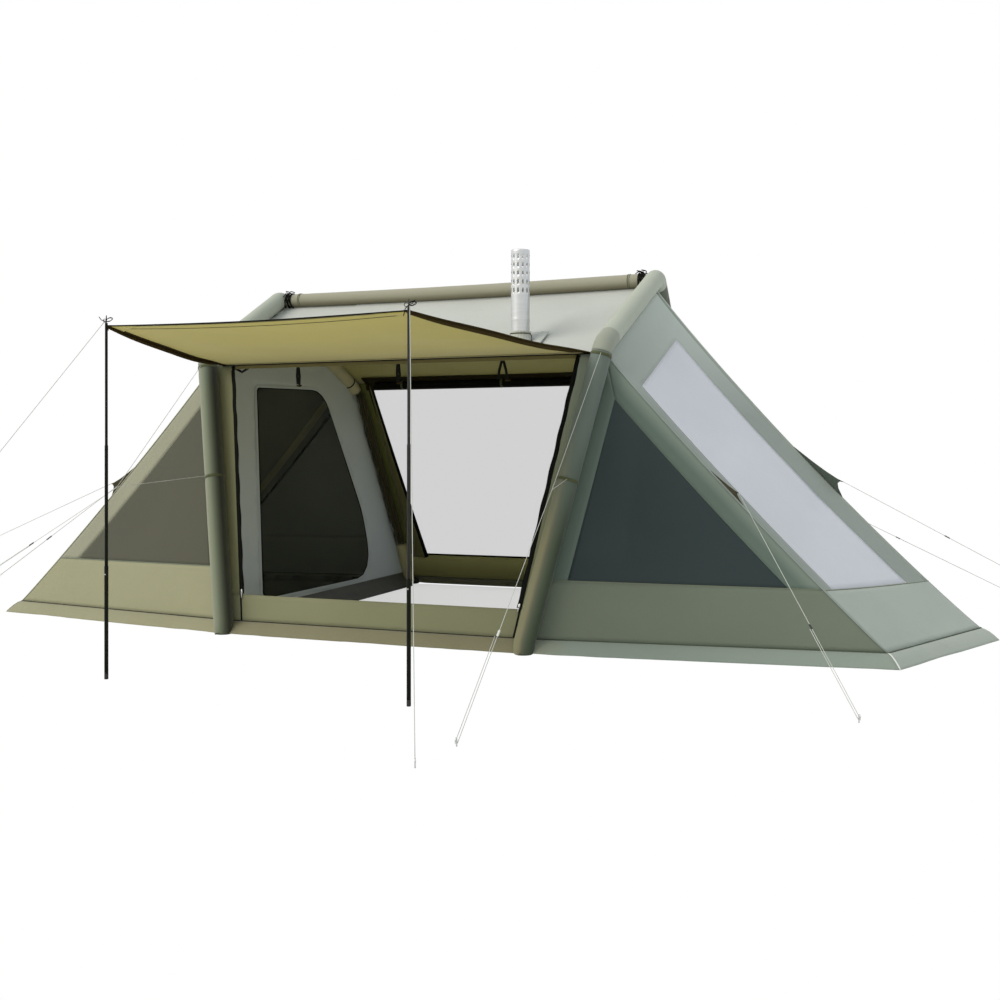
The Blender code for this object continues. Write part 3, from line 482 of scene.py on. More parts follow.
slant_cloth = woven("grey_green_sleeve_oxford", "AAB0A2", "B1B7AA", slack=0.6)
cuff_cloth = woven("olive_grey_cuff_oxford", "92978A", "999E91", slack=0.6)
for side, name in ((-1, "left"), (1, "right")):
    legs, straps = [], []
    for end in (-1, 1):
        foot = leg_axis(side, end, FOOT_RISE)
        foot.z = 0.0
        path = [foot + UP * 0.012, leg_axis(side, end, FOOT_RISE + 0.02), leg_axis(side, end, KNEE_Z - 0.05)]
        path = [foot, foot + UP * 0.004] + even(path, SLEEVE_STEP)
        pinches = [(leg_axis(side, end, z) - foot).length for z in STRAP_ZS]
        legs.append(beam(path, ARCH_R, SLEEVE_SIDES, 9.3, lambda run: leg_waist(pinches, run), 0.0008))
        for z in STRAP_ZS:
            middle = leg_axis(side, end, z)
            along = (leg_axis(side, end, z + 1) - middle).normalized()
            across = along.orthogonal().normalized()
            straps.append(hoop(middle, across, along.cross(across), ARCH_R * 0.975, tape(STRAP_W, STRAP_T)))
    piece("leg_sleeves_" + name, legs, "tent", leg_cloths[name], "arch_sleeve_" + name)
    front, back = (leg_axis(side, end, KNEE_Z - 0.045) for end in (-1, 1))
    knees = [at(side * KNEE_X, end * KNEE_Y, KNEE_Z) for end in (-1, 1)]
    path = bent([front, knees[0], at(side * APEX_X, 0, APEX_Z), knees[1], back], KNEE_BEND, 14)
    path = even(path, SLEEVE_STEP)
    total = length_of(path)
    slant = beam(path, ARCH_R, SLEEVE_SIDES, 54.25 + 1.55 * side, lambda run: slant_waist(total, run), 0.0006)
    slant = piece("slant_sleeve_" + name, slant, "tent", [slant_cloth, far_slope_shade_cloth, cuff_cloth])
    # Behind the ridge the slant takes the darker moss cloth, painted shade; near the front knee it takes the
    # cuff's.
    for face in slant.data.polygons:
        point = path[min(face.index // SLEEVE_SIDES, len(path) - 1)]
        face.material_index = 2 if (point - front).length < CUFF_LONG else int(point.y > RIDGE_Y + SHADED_FROM)
    tube = beam(path, ARCH_R * 0.9, TUBE_SIDES, 41.85 + 1.55 * side)
    piece("air_tube_" + name, tube, "tent", air_film, "arch_bladder_" + name)
    piece("leg_straps_" + name, straps, "tent", webbing)


# The ridge sleeve between the arches, with a sewn ring near each end and a black cord lashing round
# the crossing of ridge and arch: six turns, a bow of two loops, and its two tails.
RIDGE_Z = (ridge_low.z + ridge_high.z) / 2
RIDGE_LONG = ridge_high.x - ridge_low.x
RIDGE_SAGS, RIDGE_STEP = 0.009, 0.04
RING_TAPES = ((1.205, 0.005, 0.0016), (1.216, 0.003, 0.0022))
LASHING_X, TURN_STEP, BOW_X = 1.275, 0.008, 1.295
BOW_LOOPS = ((0.014, -0.020, 0.012), (-0.018, -0.012, 0.010))
BOW_TAILS = ((0.026, -0.045, -0.030), (-0.030, -0.050, -0.012))
# Light and shade painted round the ridge sleeve: pale over its top and dark beneath.
RIDGE_PAINTED_SHADING = [
    (0.0, "A19F8D"), (0.16, "A19F8D"), (0.28, "9A9884"), (0.37, "7C7862"), (0.45, "5A553F"),
    (0.56, "5A553F"), (0.70, "86836F"), (0.84, "A19F8D"), (1.0, "A19F8D"),
]


def ridge_waist(run):
    """The ridge's share of its radius: drawn in at its ends and at its sewn rings."""
    from_end = min(run, RIDGE_LONG - run)
    return SLEEVE_SHARE - 0.12 * math.exp(-from_end / 0.03) - 0.02 * bell(from_end - 0.16, 0.012)


path = even([at(ridge_low.x, 0, RIDGE_Z), at(ridge_high.x, 0, RIDGE_Z)], RIDGE_STEP)
path = [p - UP * (RIDGE_SAGS * (1 - (p.x / ridge_high.x) ** 2)) for p in path]
ridge_cloth = woven("ridge_oxford_shade_painted", "8E8C7A", "959381", slack=0.6, painted_girth_shading=(RIDGE_GIRTH, RIDGE_PAINTED_SHADING))
cover = beam(path, RIDGE_R, SLEEVE_SIDES, 34.1, ridge_waist, 0.0006)
piece("ridge_cover", cover, "tent", ridge_cloth, "ridge_sleeve")
piece("ridge_air_tube", beam(path, RIDGE_R * 0.84, TUBE_SIDES, 43.4), "tent", air_film, "ridge_bladder")
rings, cords = [], []
for side in (-1, 1):
    for x, width, thick in RING_TAPES:
        rings.append(hoop(at(side * x, 0, RIDGE_Z), UP, BACK, RIDGE_R * 0.968, tape(width, thick)))
    for turn in range(6):
        radius = RIDGE_R + 0.001 + 0.003 * (turn % 2)
        slant = UP + RIGHT * (side * 0.016 * math.sin(turn * 2.1) / radius)
        middle = at(side * (LASHING_X + TURN_STEP * turn), 0, RIDGE_Z)
        cords.append(swept(ring(middle, slant, BACK, radius, 32), circle(0.004), caps=False))
    for dx, dy, rise in BOW_LOOPS:
        middle = at(side * BOW_X, 0, RIDGE_Z + RIDGE_R + 0.006) + Vector((side * dx, dy, 0))
        path = [
            middle + Vector((0.016 * math.cos(a), 0.008 * math.sin(a), rise * math.sin(a / 2)))
            for a in spaced(0.0, math.tau, 20)
        ]
        cords.append(swept(path, circle(0.0032), caps=False))
    start = at(side * BOW_X, -0.022, RIDGE_Z + RIDGE_R)
    for dx, dy, dz in BOW_TAILS:
        tail = ((0, 0, 0), (side * dx * 0.5, dy * 0.5, 0.004), (side * dx, dy, dz))
        cords.append(swept(even([start + Vector(step) for step in tail], 0.01), circle(0.003)))
piece("ridge_rings", rings, "tent", webbing)
piece("ridge_lashings", cords, "tent", black_webbing)


# The roof. Two pale sheets hang inside the beams and meet under the ridge; they sag a little between
# the arches, and their inner coating is khaki. The front one has the flue's hole. Their lower edges are
# hemmed at the eaves. The body's corner points are those of the right front quarter.
FOOT_C, KNEE_C = Vector((0.9532, -1.2666, 0.07)), Vector((1.295, -0.9454, 1.6417))
APEX_C = Vector((1.3825, 0.0, 2.1304))
CORNER_C, TIP_C = Vector((2.784, -1.029, 0.07)), Vector((3.28, 0.0, 0.07))
EAVE_Y = -KNEE_C.y
ROOF_OUT = Vector((0, 0.4593, 0.8883))
CLOTH, LEAST_SIDE = 0.0012, 0.05
ROOF_SAG, ROOF_EASE, ROOF_TUCK = 0.022, 0.004, 0.022
FLUE_X, FLUE_Y, ROOF_HOLE_R = 0.726, -0.75, 0.083
HEM_W, HEM_T, HEM_STEP = 0.022, 0.0022, 0.05
ENDS = ((-1, "front"), (1, "back"))
SIDES = ((-1, "left"), (1, "right"))
TRIANGLE = 0.866


def corner(point, side=1, end=-1):
    """A body corner point, mirrored to a side (+1 right) and an end (-1 front)."""
    return at(point.x * side, -point.y * end, point.z)


def facing(out, side, end):
    """The direction that looks out of a panel, mirrored to its side and end."""
    return Vector((out.x * side, out.y * end, out.z))


def hump(share):
    """0 at both ends and 1 in the middle."""
    return 4 * share * (1 - share)


def ruffle(x, y, z, height):
    """A smooth bump of up to this height, up or down, that differs from place to place."""
    return noise.noise(Vector((x, y, z))) * height


def thicken(obj, thickness=CLOTH, lining=None):
    """The cloth's thickness, applied at once; its inner face may have another finish."""
    wall = obj.modifiers.new("thickness", "SOLIDIFY")
    if lining:
        obj.data.materials.append(lining)
        wall.material_offset = 1
    wall.thickness = thickness
    wall.offset = 0.0
    graph = bpy.context.evaluated_depsgraph_get()
    mesh = bpy.data.meshes.new_from_object(obj.evaluated_get(graph))
    old = obj.data
    obj.modifiers.clear()
    obj.data = mesh
    bpy.data.meshes.remove(old)


def face_out(mesh, out):
    """Turns each face of a sheet that looks inwards."""
    work = bmesh.new()
    work.from_mesh(mesh)
    bmesh.ops.reverse_faces(work, faces=[face for face in work.faces if face.normal.dot(out) < 0])
    work.to_mesh(mesh)
    work.free()


def hang(obj, flat=None, lining=None, out=None):
    """Turns a finished one-layer sheet outwards and gives it its thickness. Its cut size is worked out,
    but not used.
    """
    if out:
        face_out(obj.data, out)
    area = sum(face.area for face in obj.data.polygons)
    points = [v.co for v in obj.data.vertices]
    length = max(LEAST_SIDE, *(max(p[i] for p in points) - min(p[i] for p in points) for i in range(3)))
    thicken(obj, lining=lining)
    flat = flat or (area / length * 1.0005, length)


def inside(place, loops):
    """Whether a flat place lies inside the first loop and outside the others."""
    hit = False
    for loop in loops:
        for (a, b), (c, d) in zip(loop, loop[1:] + loop[:1]):
            if (b > place[1]) != (d > place[1]) and place[0] < a + (c - a) * (place[1] - b) / (d - b):
                hit = not hit
    return hit


def filled(place, outline, holes=(), step=0.05):
    """A sheet over a flat outline less its holes, in small triangles; place puts a flat point in space."""
    loops = [list(outline)] + [list(hole) for hole in holes]
    flat, edges = [], []
    for loop in loops:
        closed = even([Vector((a, b, 0)) for a, b in loop + loop[:1]], step)[:-1]
        edges += [(len(flat) + i, len(flat) + (i + 1) % len(closed)) for i in range(len(closed))]
        flat += [Vector((p.x, p.y)) for p in closed]
    rim = list(flat)
    low, high = ([pick(p[i] for p in rim) for i in (0, 1)] for pick in (min, max))
    for j in range(math.ceil((high[1] - low[1]) / (step * TRIANGLE))):
        for i in range(math.ceil((high[0] - low[0]) / step) + 1):
            spot = Vector((low[0] + (i + 0.5 * (j % 2)) * step, low[1] + (j + 0.5) * step * TRIANGLE))
            if inside(spot, loops) and min((spot - p).length for p in rim) > step * 0.55:
                flat.append(spot)
    found = geometry.delaunay_2d_cdt(flat, edges, [], 0, 1e-7)
    work = bmesh.new()
    chart = work.loops.layers.uv.new("cloth")
    made = [work.verts.new(place(p.x, p.y)) for p in found[0]]
    for face in found[2]:
        centre = sum((found[0][i] for i in face), Vector((0, 0))) / 3
        if inside(centre, loops):
            new = work.faces.new([made[i] for i in face])
            new.smooth = True
            for corner, i in zip(new.loops, face):
                corner[chart].uv = found[0][i]
    bmesh.ops.delete(work, geom=[v for v in work.verts if not v.link_faces], context="VERTS")
    return mesh_of(work)


def round_hole(x, y, radius):
    """A round hole's outline."""
    turns = [math.tau * i / 32 for i in range(32)]
    return [(x + radius * math.cos(a), y + radius * math.sin(a)) for a in turns]


ceiling_cloth = woven("khaki_roof_coating", "B2AB66", "B9B26C", roughness=0.6)
for end, name in ENDS:
    normal = facing(ROOF_OUT, 1, end)
    eave_l, eave_r, ridge_l, ridge_r = (corner(p, side, end) for p in (KNEE_C, APEX_C) for side in (-1, 1))
    long = (ridge_l - eave_l).length

    def roof_place(x, rise):
        """A point of the roof: x across the tent, rise up its slope from the eave."""
        v = rise / long
        u = (x / (KNEE_C.x + (APEX_C.x - KNEE_C.x) * v) + 1) / 2
        drop = ROOF_SAG * hump(u) * (0.35 + 0.65 * math.sin(math.pi * min(v, 1.0)))
        if v > 1.0:
            return at(x, 0, APEX_C.z - drop + rise - long)
        drop += ruffle(x * 1.6, rise * 3.5, 2.0 + end, ROOF_EASE) * hump(u) * hump(v)
        return eave_l.lerp(eave_r, u).lerp(ridge_l.lerp(ridge_r, u), v) - normal * drop

    half, top, tuck = KNEE_C.x, APEX_C.x, long + ROOF_TUCK
    outline = [(-half, 0), (half, 0), (top, long), (top, tuck), (-top, tuck), (-top, long)]
    holes = [round_hole(FLUE_X, (FLUE_Y + EAVE_Y) / EAVE_Y * long, ROOF_HOLE_R)] if end < 0 else []
    cloth = filled(roof_place, outline, holes, 0.045)
    sheet = piece("roof_sheet_" + name, cloth, "tent", pale_cloth, "roof_" + name)
    hang(sheet, lining=ceiling_cloth, out=normal)
    edges = zip(even([eave_l, eave_r], HEM_STEP), even([ridge_l, ridge_r], HEM_STEP))
    hem = [low.lerp(high, 0.008) - normal * 0.001 for low, high in edges]
    piece("eave_hem_" + name, swept(hem, tape(HEM_W, HEM_T), normal), "tent", pale_cloth)


# The end walls. Olive jambs beside each leg and a sill across the foot, round an open doorway; the
# sheets are sewn to the sleeves along the legs. A black webbing binding edges the opening: its sides at the
# front, its sides and its foot at the back.
JAMB_TOP, JAMB_LOW = 1.145, 0.8622
SILL_Z = {-1: 0.225, 1: 0.25}
SEAM_Z, SEAM_Y = 0.07, 1.2810
WALL_OUT = Vector((0, 0.9797, 0.2003))
JAMB_EASE, SILL_EASE, SILL_SLUMP = 0.004, 0.006, 0.004
BINDING_W, BINDING_T, BINDING_LIFT = {-1: 0.022, 1: 0.026}, 0.0024, 0.001


def wall_at(side, end, x, z):
    """A point of an end wall at a height."""
    return at(side * x, end * (SEAM_Y - WALL_SLOPE * z), z)


def up_the_wall(low, top, z):
    """The value at a height, of one that goes from low at the seam to top at the eave."""
    return low + (top - low) * (z - SEAM_Z) / (KNEE_C.z - SEAM_Z)


def door_x(z):
    """Half of the doorway's width at a height."""
    return up_the_wall(JAMB_LOW, JAMB_TOP, z)


def leg_seam_x(z):
    """Half of the distance between the walls' seams to the legs at a height."""
    return up_the_wall(FOOT_C.x, KNEE_C.x, z)


def turned_rows(rows, turned):
    """Rows that run the other way where turned, so that a mirrored sheet looks out too."""
    return [row[::-1] for row in rows] if turned else rows


def jamb_row(side, end, z):
    """The points across a jamb at a height, with its slack."""
    row = []
    for u in spaced(0.0, 1.0, 6):
        ease = ruffle(u * 2.0 + side, z * 3.0, 5.0 + end, JAMB_EASE) * math.sin(math.pi * u)
        x = door_x(z) + (leg_seam_x(z) - door_x(z)) * u
        row.append(wall_at(side, end, x, z) + facing(WALL_OUT, 1, end) * ease)
    return row


def sill_row(end, z):
    """The points across a sill at a height, which slumps towards its top edge."""
    half, door = leg_seam_x(z), door_x(SILL_Z[end])
    rise = (z - SEAM_Z) / (SILL_Z[end] - SEAM_Z)
    row = []
    for x in through((-half, -door, door, half), (3, 60, 3)):
        slump = ruffle(x * 2.5, z, 9.0 + end, SILL_EASE) - SILL_SLUMP * hump((x + half) / (2 * half))
        row.append(wall_at(1, end, x, z) + facing(WALL_OUT, 1, end) * (slump * rise))
    return row


# The right front jamb turns grey-green towards its top: painted cool light.
jamb_cloths = {
    -1: woven("olive_jamb_oxford", "79795A", "7E7E5E", drift=("8D9788", (1, 0, 0.6), 1.2, 2.1)),
    1: woven("dark_olive_jamb_oxford", "676B36", "6B6F39"),
}
# The back sill pales towards its top edge: painted light.
sill_cloths = {
    -1: woven("sage_olive_oxford", "7E7F63", "838467"),
    1: woven("olive_sill_oxford", "85824F", "8C8956", drift=("B9B57C", UP, 0.10, 0.27)),
}
for end, name in ENDS:
    sill, head = SILL_Z[end], KNEE_C.z - 0.01
    jambs = [
        skin(turned_rows([jamb_row(side, end, z) for z in spaced(sill, KNEE_C.z, 44)], side * end > 0))
        for side in (-1, 1)
    ]
    wall = piece("end_wall_" + name, jambs, "tent", jamb_cloths[end], name + "_wall")
    hang(wall)
    foot = skin(turned_rows([sill_row(end, z) for z in spaced(SEAM_Z, sill, 6)], end > 0))
    hang(piece("end_sill_" + name, foot, "tent", sill_cloths[end]))
    out = facing(WALL_OUT, 1, end)
    edges = [wall_at(side, end, door_x(z), z) for side, z in ((-1, head), (-1, sill), (1, sill), (1, head))]
    edges = [p + out * BINDING_LIFT for p in edges]
    runs = [edges[:2], edges[2:]] if end < 0 else [bent(edges, 0.03, 5)]
    bindings = [swept(even(run, 0.06), tape(BINDING_W[end], BINDING_T), out) for run in runs]
    piece("doorway_binding_" + name, bindings, "tent", black_webbing)


# The front zips. A black tape with a nylon coil runs down each side of the doorway, and a plainer one on
# down the sill; the slider is die-cast zinc with a flat pull, dull and faintly grained like cast metal.
COIL_PITCH, COIL_R, SWAY = 0.004, 0.0022, 0.0026
ZIP_W, ZIP_T, SILL_ZIP_W, SILL_ZIP_T = 0.026, 0.0016, 0.010, 0.002
ZIP_ASIDE = 0.0045
SLIDER_HALF_L, SLIDER_HALF_W, SLIDER_HALF_T = 0.0145, 0.0068, 0.003
SLIDER_STEPS = (
    (-1, 0.45, 0.6), (-0.95, 0.75, 0.9), (-0.3, 1, 1), (0.5, 0.8, 1), (0.95, 0.95, 0.8), (1, 0.6, 0.5),
)
EASED_BOX = ((-1, -0.6), (-0.6, -1), (0.6, -1), (1, -0.6), (1, 0.6), (0.6, 1), (-0.6, 1), (-1, 0.6))
PULL = [(-0.004, -0.0008), (0.004, -0.0008), (0.004, 0.0008), (-0.004, 0.0008)]


def mottled(name, dark, light, rough, spots, detail=2.0, metallic=0.0, gloss=0.5, flat=1.0, crystals=False):
    """A hard material whose colour and roughness go between two values in a fine pattern, with this many
    spots to a metre, in crystals or smooth, and flattened by a factor into level streaks."""
    made, tree, shader = new_material(name)
    place = add_node(tree, "TexCoord").outputs["Object"]
    place = add_node(tree, "Mapping", {"Vector": place, "Scale": (1.0, 1.0, flat)})
    if crystals:
        pattern = add_node(tree, "TexVoronoi", {"Vector": place, "Scale": spots})
    else:
        pattern = add_node(tree, "TexNoise", {"Vector": place, "Scale": spots, "Detail": detail})
    tone = add_node(tree, "Mix", {0: pattern, 6: linear(dark), 7: linear(light)}, data_type="RGBA")
    wear = add_node(tree, "MapRange", {"Value": pattern, "To Min": rough[0], "To Max": rough[1]})
    plug(tree, shader, {
        "Base Color": tone.outputs[2], "Roughness": wear, "Metallic": metallic, "Specular IOR Level": gloss,
    })
    return made


zip_black = narrow("black_zip_tape", "0B0C0B", "111210", thread=0.0014, sheen=0.0, gloss=0.08)
zinc = mottled("die_cast_zinc", "C9CBCC", "C9CBCC", (0.25, 0.42), 160.0, detail=3.0, metallic=1.0)
for side, name in SIDES:
    out, sill = facing(WALL_OUT, 1, -1), SILL_Z[-1]
    down = spaced(SEAM_Z + 0.004, sill + 0.02, 8)
    down = [wall_at(side, -1, door_x(z) + 0.004, z) + out * 0.0015 for z in down]
    piece("sill_zip_" + name, swept(down, tape(SILL_ZIP_W, SILL_ZIP_T), out), "tent", zip_black)
    low = wall_at(side, -1, door_x(sill) - ZIP_ASIDE, sill + 0.004)
    top = wall_at(side, -1, door_x(KNEE_C.z) - ZIP_ASIDE, KNEE_C.z - 0.035)
    sway = [p + RIGHT * (SWAY * math.sin(i * 0.9)) for i, p in enumerate(even([low, top], 0.03))]
    strip = swept([p - out * 0.0008 for p in sway], tape(ZIP_W, ZIP_T), out)
    teeth = [p + out * 0.001 for p in even([low, top], COIL_PITCH)]
    coil = swept(teeth, circle(COIL_R), out, scale=[0.8 + 0.35 * (i % 2) for i in range(len(teeth))])
    piece("doorway_zip_" + name, [strip, coil], "tent", zip_black, "zip_" + name)
    box_low, box_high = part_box("zip_slider_" + name)
    middle, along = (box_low + box_high) / 2, (top - low).normalized()
    across, rise = along.cross(out) * SLIDER_HALF_W, out * SLIDER_HALF_T
    rows = []
    for share, wide, deep in SLIDER_STEPS:
        centre = middle + along * (SLIDER_HALF_L * share)
        rows.append([centre + across * (wide * a) + rise * (deep * b) for a, b in EASED_BOX])
    start = middle + out * 0.0042 - along * 0.004
    pull = swept([start, start - along * 0.010 + out * 0.001, start - along * 0.034], PULL, out)
    body = [skin(rows, wrap=True, caps=True), pull]
    piece("zip_slider_body_" + name, body, "zip_slider_" + name, zinc, "zip_slider_" + name)


# The wings. Each closes an end of the tent with a triangular wall and a sloping roof sheet, front and
# back. The sheets draw in between their seams. The front walls have a dark mesh window and the front
# roofs a translucent film one; a band of another tone runs round the foot, and tapes cover the seams.
HIP_SAG, RIDGE_SAG, BILLOW, WALL_DRAW = 0.026, 0.060, 0.012, 0.008
WING_IN = Vector((-0.7252, 0, -0.6885))
WING_ROOF_OUT, WING_WALL_OUT = Vector((0.6755, 0.3640, 0.6413)), Vector((0.1268, 0.9769, 0.1721))
BAND_B = (0.385 - FOOT_C.z) / (KNEE_C.z - FOOT_C.z)
FILM_STOPS = [Vector(pair) for pair in ((0, 0), (0.135, 0.112), (0.47, 0.487), (0.80, 0.862), (1, 1))]
FILM_STEPS, FILM_SPAN = (8, 20, 20, 12), range(8, 48)
RISE_STOPS, RISE_STEPS, RISE_SPAN = (0.0, 0.075, 0.43, 0.78, 1.0), (4, 12, 12, 8), range(4, 28)
MESH_CORNERS = ((1.1492, 0.385), (2.3105, 0.385), (1.366, 1.382))
SEAM_W, SEAM_T, HIP_W, RIDGE_W = 0.007, 0.0016, 0.010, 0.026
SLIVER = Vector((1e-4, 0))


def wing_sag(side, s, rise):
    """How far a wing's sheet draws in, at a share of its length, from the hip up to its ridge."""
    amount = (HIP_SAG + (RIDGE_SAG - HIP_SAG) * rise) * hump(s) ** 0.85
    return facing(WING_IN, side, 1) * amount


def wing_point(side, end, u, v):
    """A point of a wing's roof; u is the shares along its hip and its ridge, v goes up between them."""
    hip = corner(KNEE_C, side, end).lerp(corner(CORNER_C, side, end), u[0])
    top = corner(APEX_C, side, end).lerp(corner(TIP_C, side, end), u[1])
    s = u[0] + (u[1] - u[0]) * v
    crease = ruffle(s * 9.0 + side, v * 2.2, 3.0 * end, 0.006)
    crease += ruffle(s * 2.0, v * 14.0 + side, 7.0 * end, 0.003)
    puff = (crease - BILLOW) * math.sin(math.pi * v) * hump(s)
    return hip.lerp(top, v) + wing_sag(side, s, v) + facing(WING_ROOF_OUT, side, end) * puff


def wing_line(side, end, low, high, v, count):
    """The path along a wing's roof at a height share."""
    return [wing_point(side, end, (u, u), v) for u in spaced(low, high, count)]


def wall_point(side, end, a, b):
    """A point of a wing's triangular wall; a and b are its shares of the outer corner and the knee."""
    foot, far, knee = corner(FOOT_C, side, end), corner(CORNER_C, side, end), corner(KNEE_C, side, end)
    flat = foot + (far - foot) * a + (knee - foot) * b
    inner = max(0.0, 27 * a * b * (1 - a - b))
    puff = (ruffle(flat.x * 2.6, flat.z * 2.6, 4.0 * end + side, 0.006) - WALL_DRAW) * inner
    return flat + wing_sag(side, 0.5, 0) * (4 * a * b) ** 0.85 + facing(WING_WALL_OUT, side, end) * puff


def wall_share(x, z):
    """The wall shares of a point of the right front wing's wall."""
    b = (z - FOOT_C.z) / (KNEE_C.z - FOOT_C.z)
    return Vector(((x - FOOT_C.x - b * (KNEE_C.x - FOOT_C.x)) / (CORNER_C.x - FOOT_C.x), b))


def wall_strip(side, end, outer, inner, steps, rungs):
    """A strip of a wing's wall between two lines, each a pair of wall shares."""
    rows = []
    shares = spaced(0.0, 1.0, steps)
    for v in spaced(0.0, 1.0, rungs):
        spots = [outer[0].lerp(outer[1], u).lerp(inner[0].lerp(inner[1], u), v) for u in shares]
        rows.append([wall_point(side, end, *spot) for spot in spots])
    return skin(turned_rows(rows, side * end > 0))


def parted(mesh, chosen):
    """The faces of these numbers as one mesh, and the others as another."""
    parts = []
    for wanted in (True, False):
        work = bmesh.new()
        work.from_mesh(mesh)
        others = [face for i, face in enumerate(work.faces) if (i in chosen) != wanted]
        bmesh.ops.delete(work, geom=others, context="FACES")
        parts.append(mesh_of(work))
    bpy.data.meshes.remove(mesh)
    return parts


# Window mesh is thin and dull, and a little see-through. The film is smooth, clouded plastic. The coatings
# are the sheets' inner faces.
seam_cloth = narrow("moss_seam_tape", "69715F", "707866", thread=FINE_THREAD)
film = woven("frosted_film", "D0D4DC", "D8DCE5", 0.002, 0.5, roughness=0.32, sheen=0.0, alpha=0.96)
thin = {"sheen": 0.05, "alpha": 0.93}
# Each wing has its own copies of these cloths: olive and warm at the left, green and cool at the right, with
# the right wall and band much darker. The difference is painted warm light at the left and cool light and
# shade at the right. The right wall pales towards its hip and the right roof towards its top: painted light
# too.
wing_cloths = {
    "left": {
        "wall": woven("wing_wall_warm_light_painted", "91917D", "979782"),
        "band": woven("wing_band_warm_light_painted", "939274", "989779"),
        "roof": woven("wing_roof_warm_light_painted", "9A9C86", "A3A58F"),
        "end": woven("wing_end_warm_light_painted", "A09F84", "A8A78C"),
        "lining": woven("inner_coating_warm_light_painted", "BEC0AC", "C5C7B3"),
        "pane": woven("insect_mesh_warm_light_painted", "525246", "565649", COARSE_THREAD, 0.25, **thin),
    },
    "right": {
        "wall": woven("wing_wall_cool_shade_painted", "5C6B61", "606F65", drift=("919C90", -WING_IN, 1.975, 2.09)),
        "band": woven("wing_band_cool_shade_painted", "6C7566", "717A6B"),
        "roof": woven("wing_roof_cool_light_painted", "8C958F", "929B95", drift=("C4CDC6", UP, 1.3, 2.05)),
        "end": woven("wing_end_cool_light_painted", "A5AFA6", "ADB7AE"),
        "lining": woven("inner_coating_cool_shade_painted", "85887A", "8C8F81"),
        "pane": woven("insect_mesh_cool_shade_painted", "303B3C", "333E3F", COARSE_THREAD, 0.25, **thin),
    },
}
foot_s, far_s, knee_s = Vector((0, 0)), Vector((1, 0)), Vector((0, 1))
band_in, band_out = Vector((0, BAND_B)), Vector((1 - BAND_B, BAND_B))
mesh_in, mesh_out, mesh_top = (wall_share(x, z) for x, z in MESH_CORNERS)
for side, side_name in SIDES:
    cloths, arch = wing_cloths[side_name], ["arch_sleeve_" + side_name]
    for end, end_name in ENDS:
        name = end_name + "_" + side_name
        wall_out, out = facing(WING_WALL_OUT, side, end), facing(WING_ROOF_OUT, side, end)
        low = wall_strip(side, end, (foot_s, far_s), (band_in, band_out), 64, 12)
        if end < 0:
            upper = [
                wall_strip(side, end, (band_in, knee_s), (mesh_in, mesh_top), 40, 5),
                wall_strip(side, end, (knee_s, band_out), (mesh_top, mesh_out), 48, 5),
            ]
        else:
            upper = wall_strip(side, end, (band_in, band_out), (knee_s, knee_s + SLIVER), 40, 40)
        wall = piece("wing_wall_cloth_" + name, upper, "tent", cloths["wall"], "wing_wall_" + name)
        hang(wall, lining=cloths["lining"], out=wall_out)
        band = piece("foot_band_" + name, low, "tent", cloths["band"])
        hang(band, lining=cloths["lining"], out=wall_out)
        if end < 0:
            pane = wall_strip(side, end, (mesh_in, mesh_out), (mesh_top, mesh_top + SLIVER), 48, 40)
            pane = piece("mesh_pane_" + side_name, pane, "tent", cloths["pane"], "mesh_window_" + side_name)
            hang(pane)
        across = through(FILM_STOPS, FILM_STEPS)
        rows = [[wing_point(side, end, u, v) for u in across] for v in through(RISE_STOPS, RISE_STEPS)]
        roof = skin(turned_rows(rows, side * end > 0), weld=False)
        if end < 0:
            cells = len(across) - 1
            columns = FILM_SPAN if side > 0 else [cells - 1 - j for j in FILM_SPAN]
            pane, roof = parted(roof, {i * cells + j for i in RISE_SPAN for j in columns})
            pane = piece("film_pane_" + side_name, pane, "tent", film, "roof_window_" + side_name)
            hang(pane)
        finishes = [cloths["roof"], cloths["end"]]
        sheet = piece("wing_roof_cloth_" + name, roof, "tent", finishes, "wing_roof_" + name)
        foot, top = (wing_point(side, end, FILM_STOPS[3], v) for v in (0.0, 1.0))
        for face in sheet.data.polygons:
            share = (face.center.y - foot.y) / (top.y - foot.y)
            face.material_index = int(face.center.z < foot.z + (top.z - foot.z) * share)
        hang(sheet, lining=cloths["lining"], out=out)
        hip = wing_line(side, end, 0.0, 1.0, 0.0, 48)
        hip = swept(hip, tape(HIP_W, 0.0022), (out + wall_out).normalized())
        piece("wing_hip_" + name, hip, "tent", cloths["roof"])
        rise = [wing_point(side, end, (0.802, 0.864), v) for v in spaced(0.0, 1.0, 30)]
        level = [wall_point(side, end, (1 - BAND_B) * a, BAND_B) for a in spaced(0.0, 1.0, 40)]
        seams = [swept(rise, tape(SEAM_W, SEAM_T), out), swept(level, tape(SEAM_W, SEAM_T), wall_out)]
        piece("wing_seams_" + name, seams, "tent", seam_cloth)
        edge = swept(wing_line(side, end, 0.0, 0.862, 0.975, 48), tape(RIDGE_W, SEAM_T), out)
        piece("wing_ridge_binding_" + name, edge, "tent", cloths["wall"])


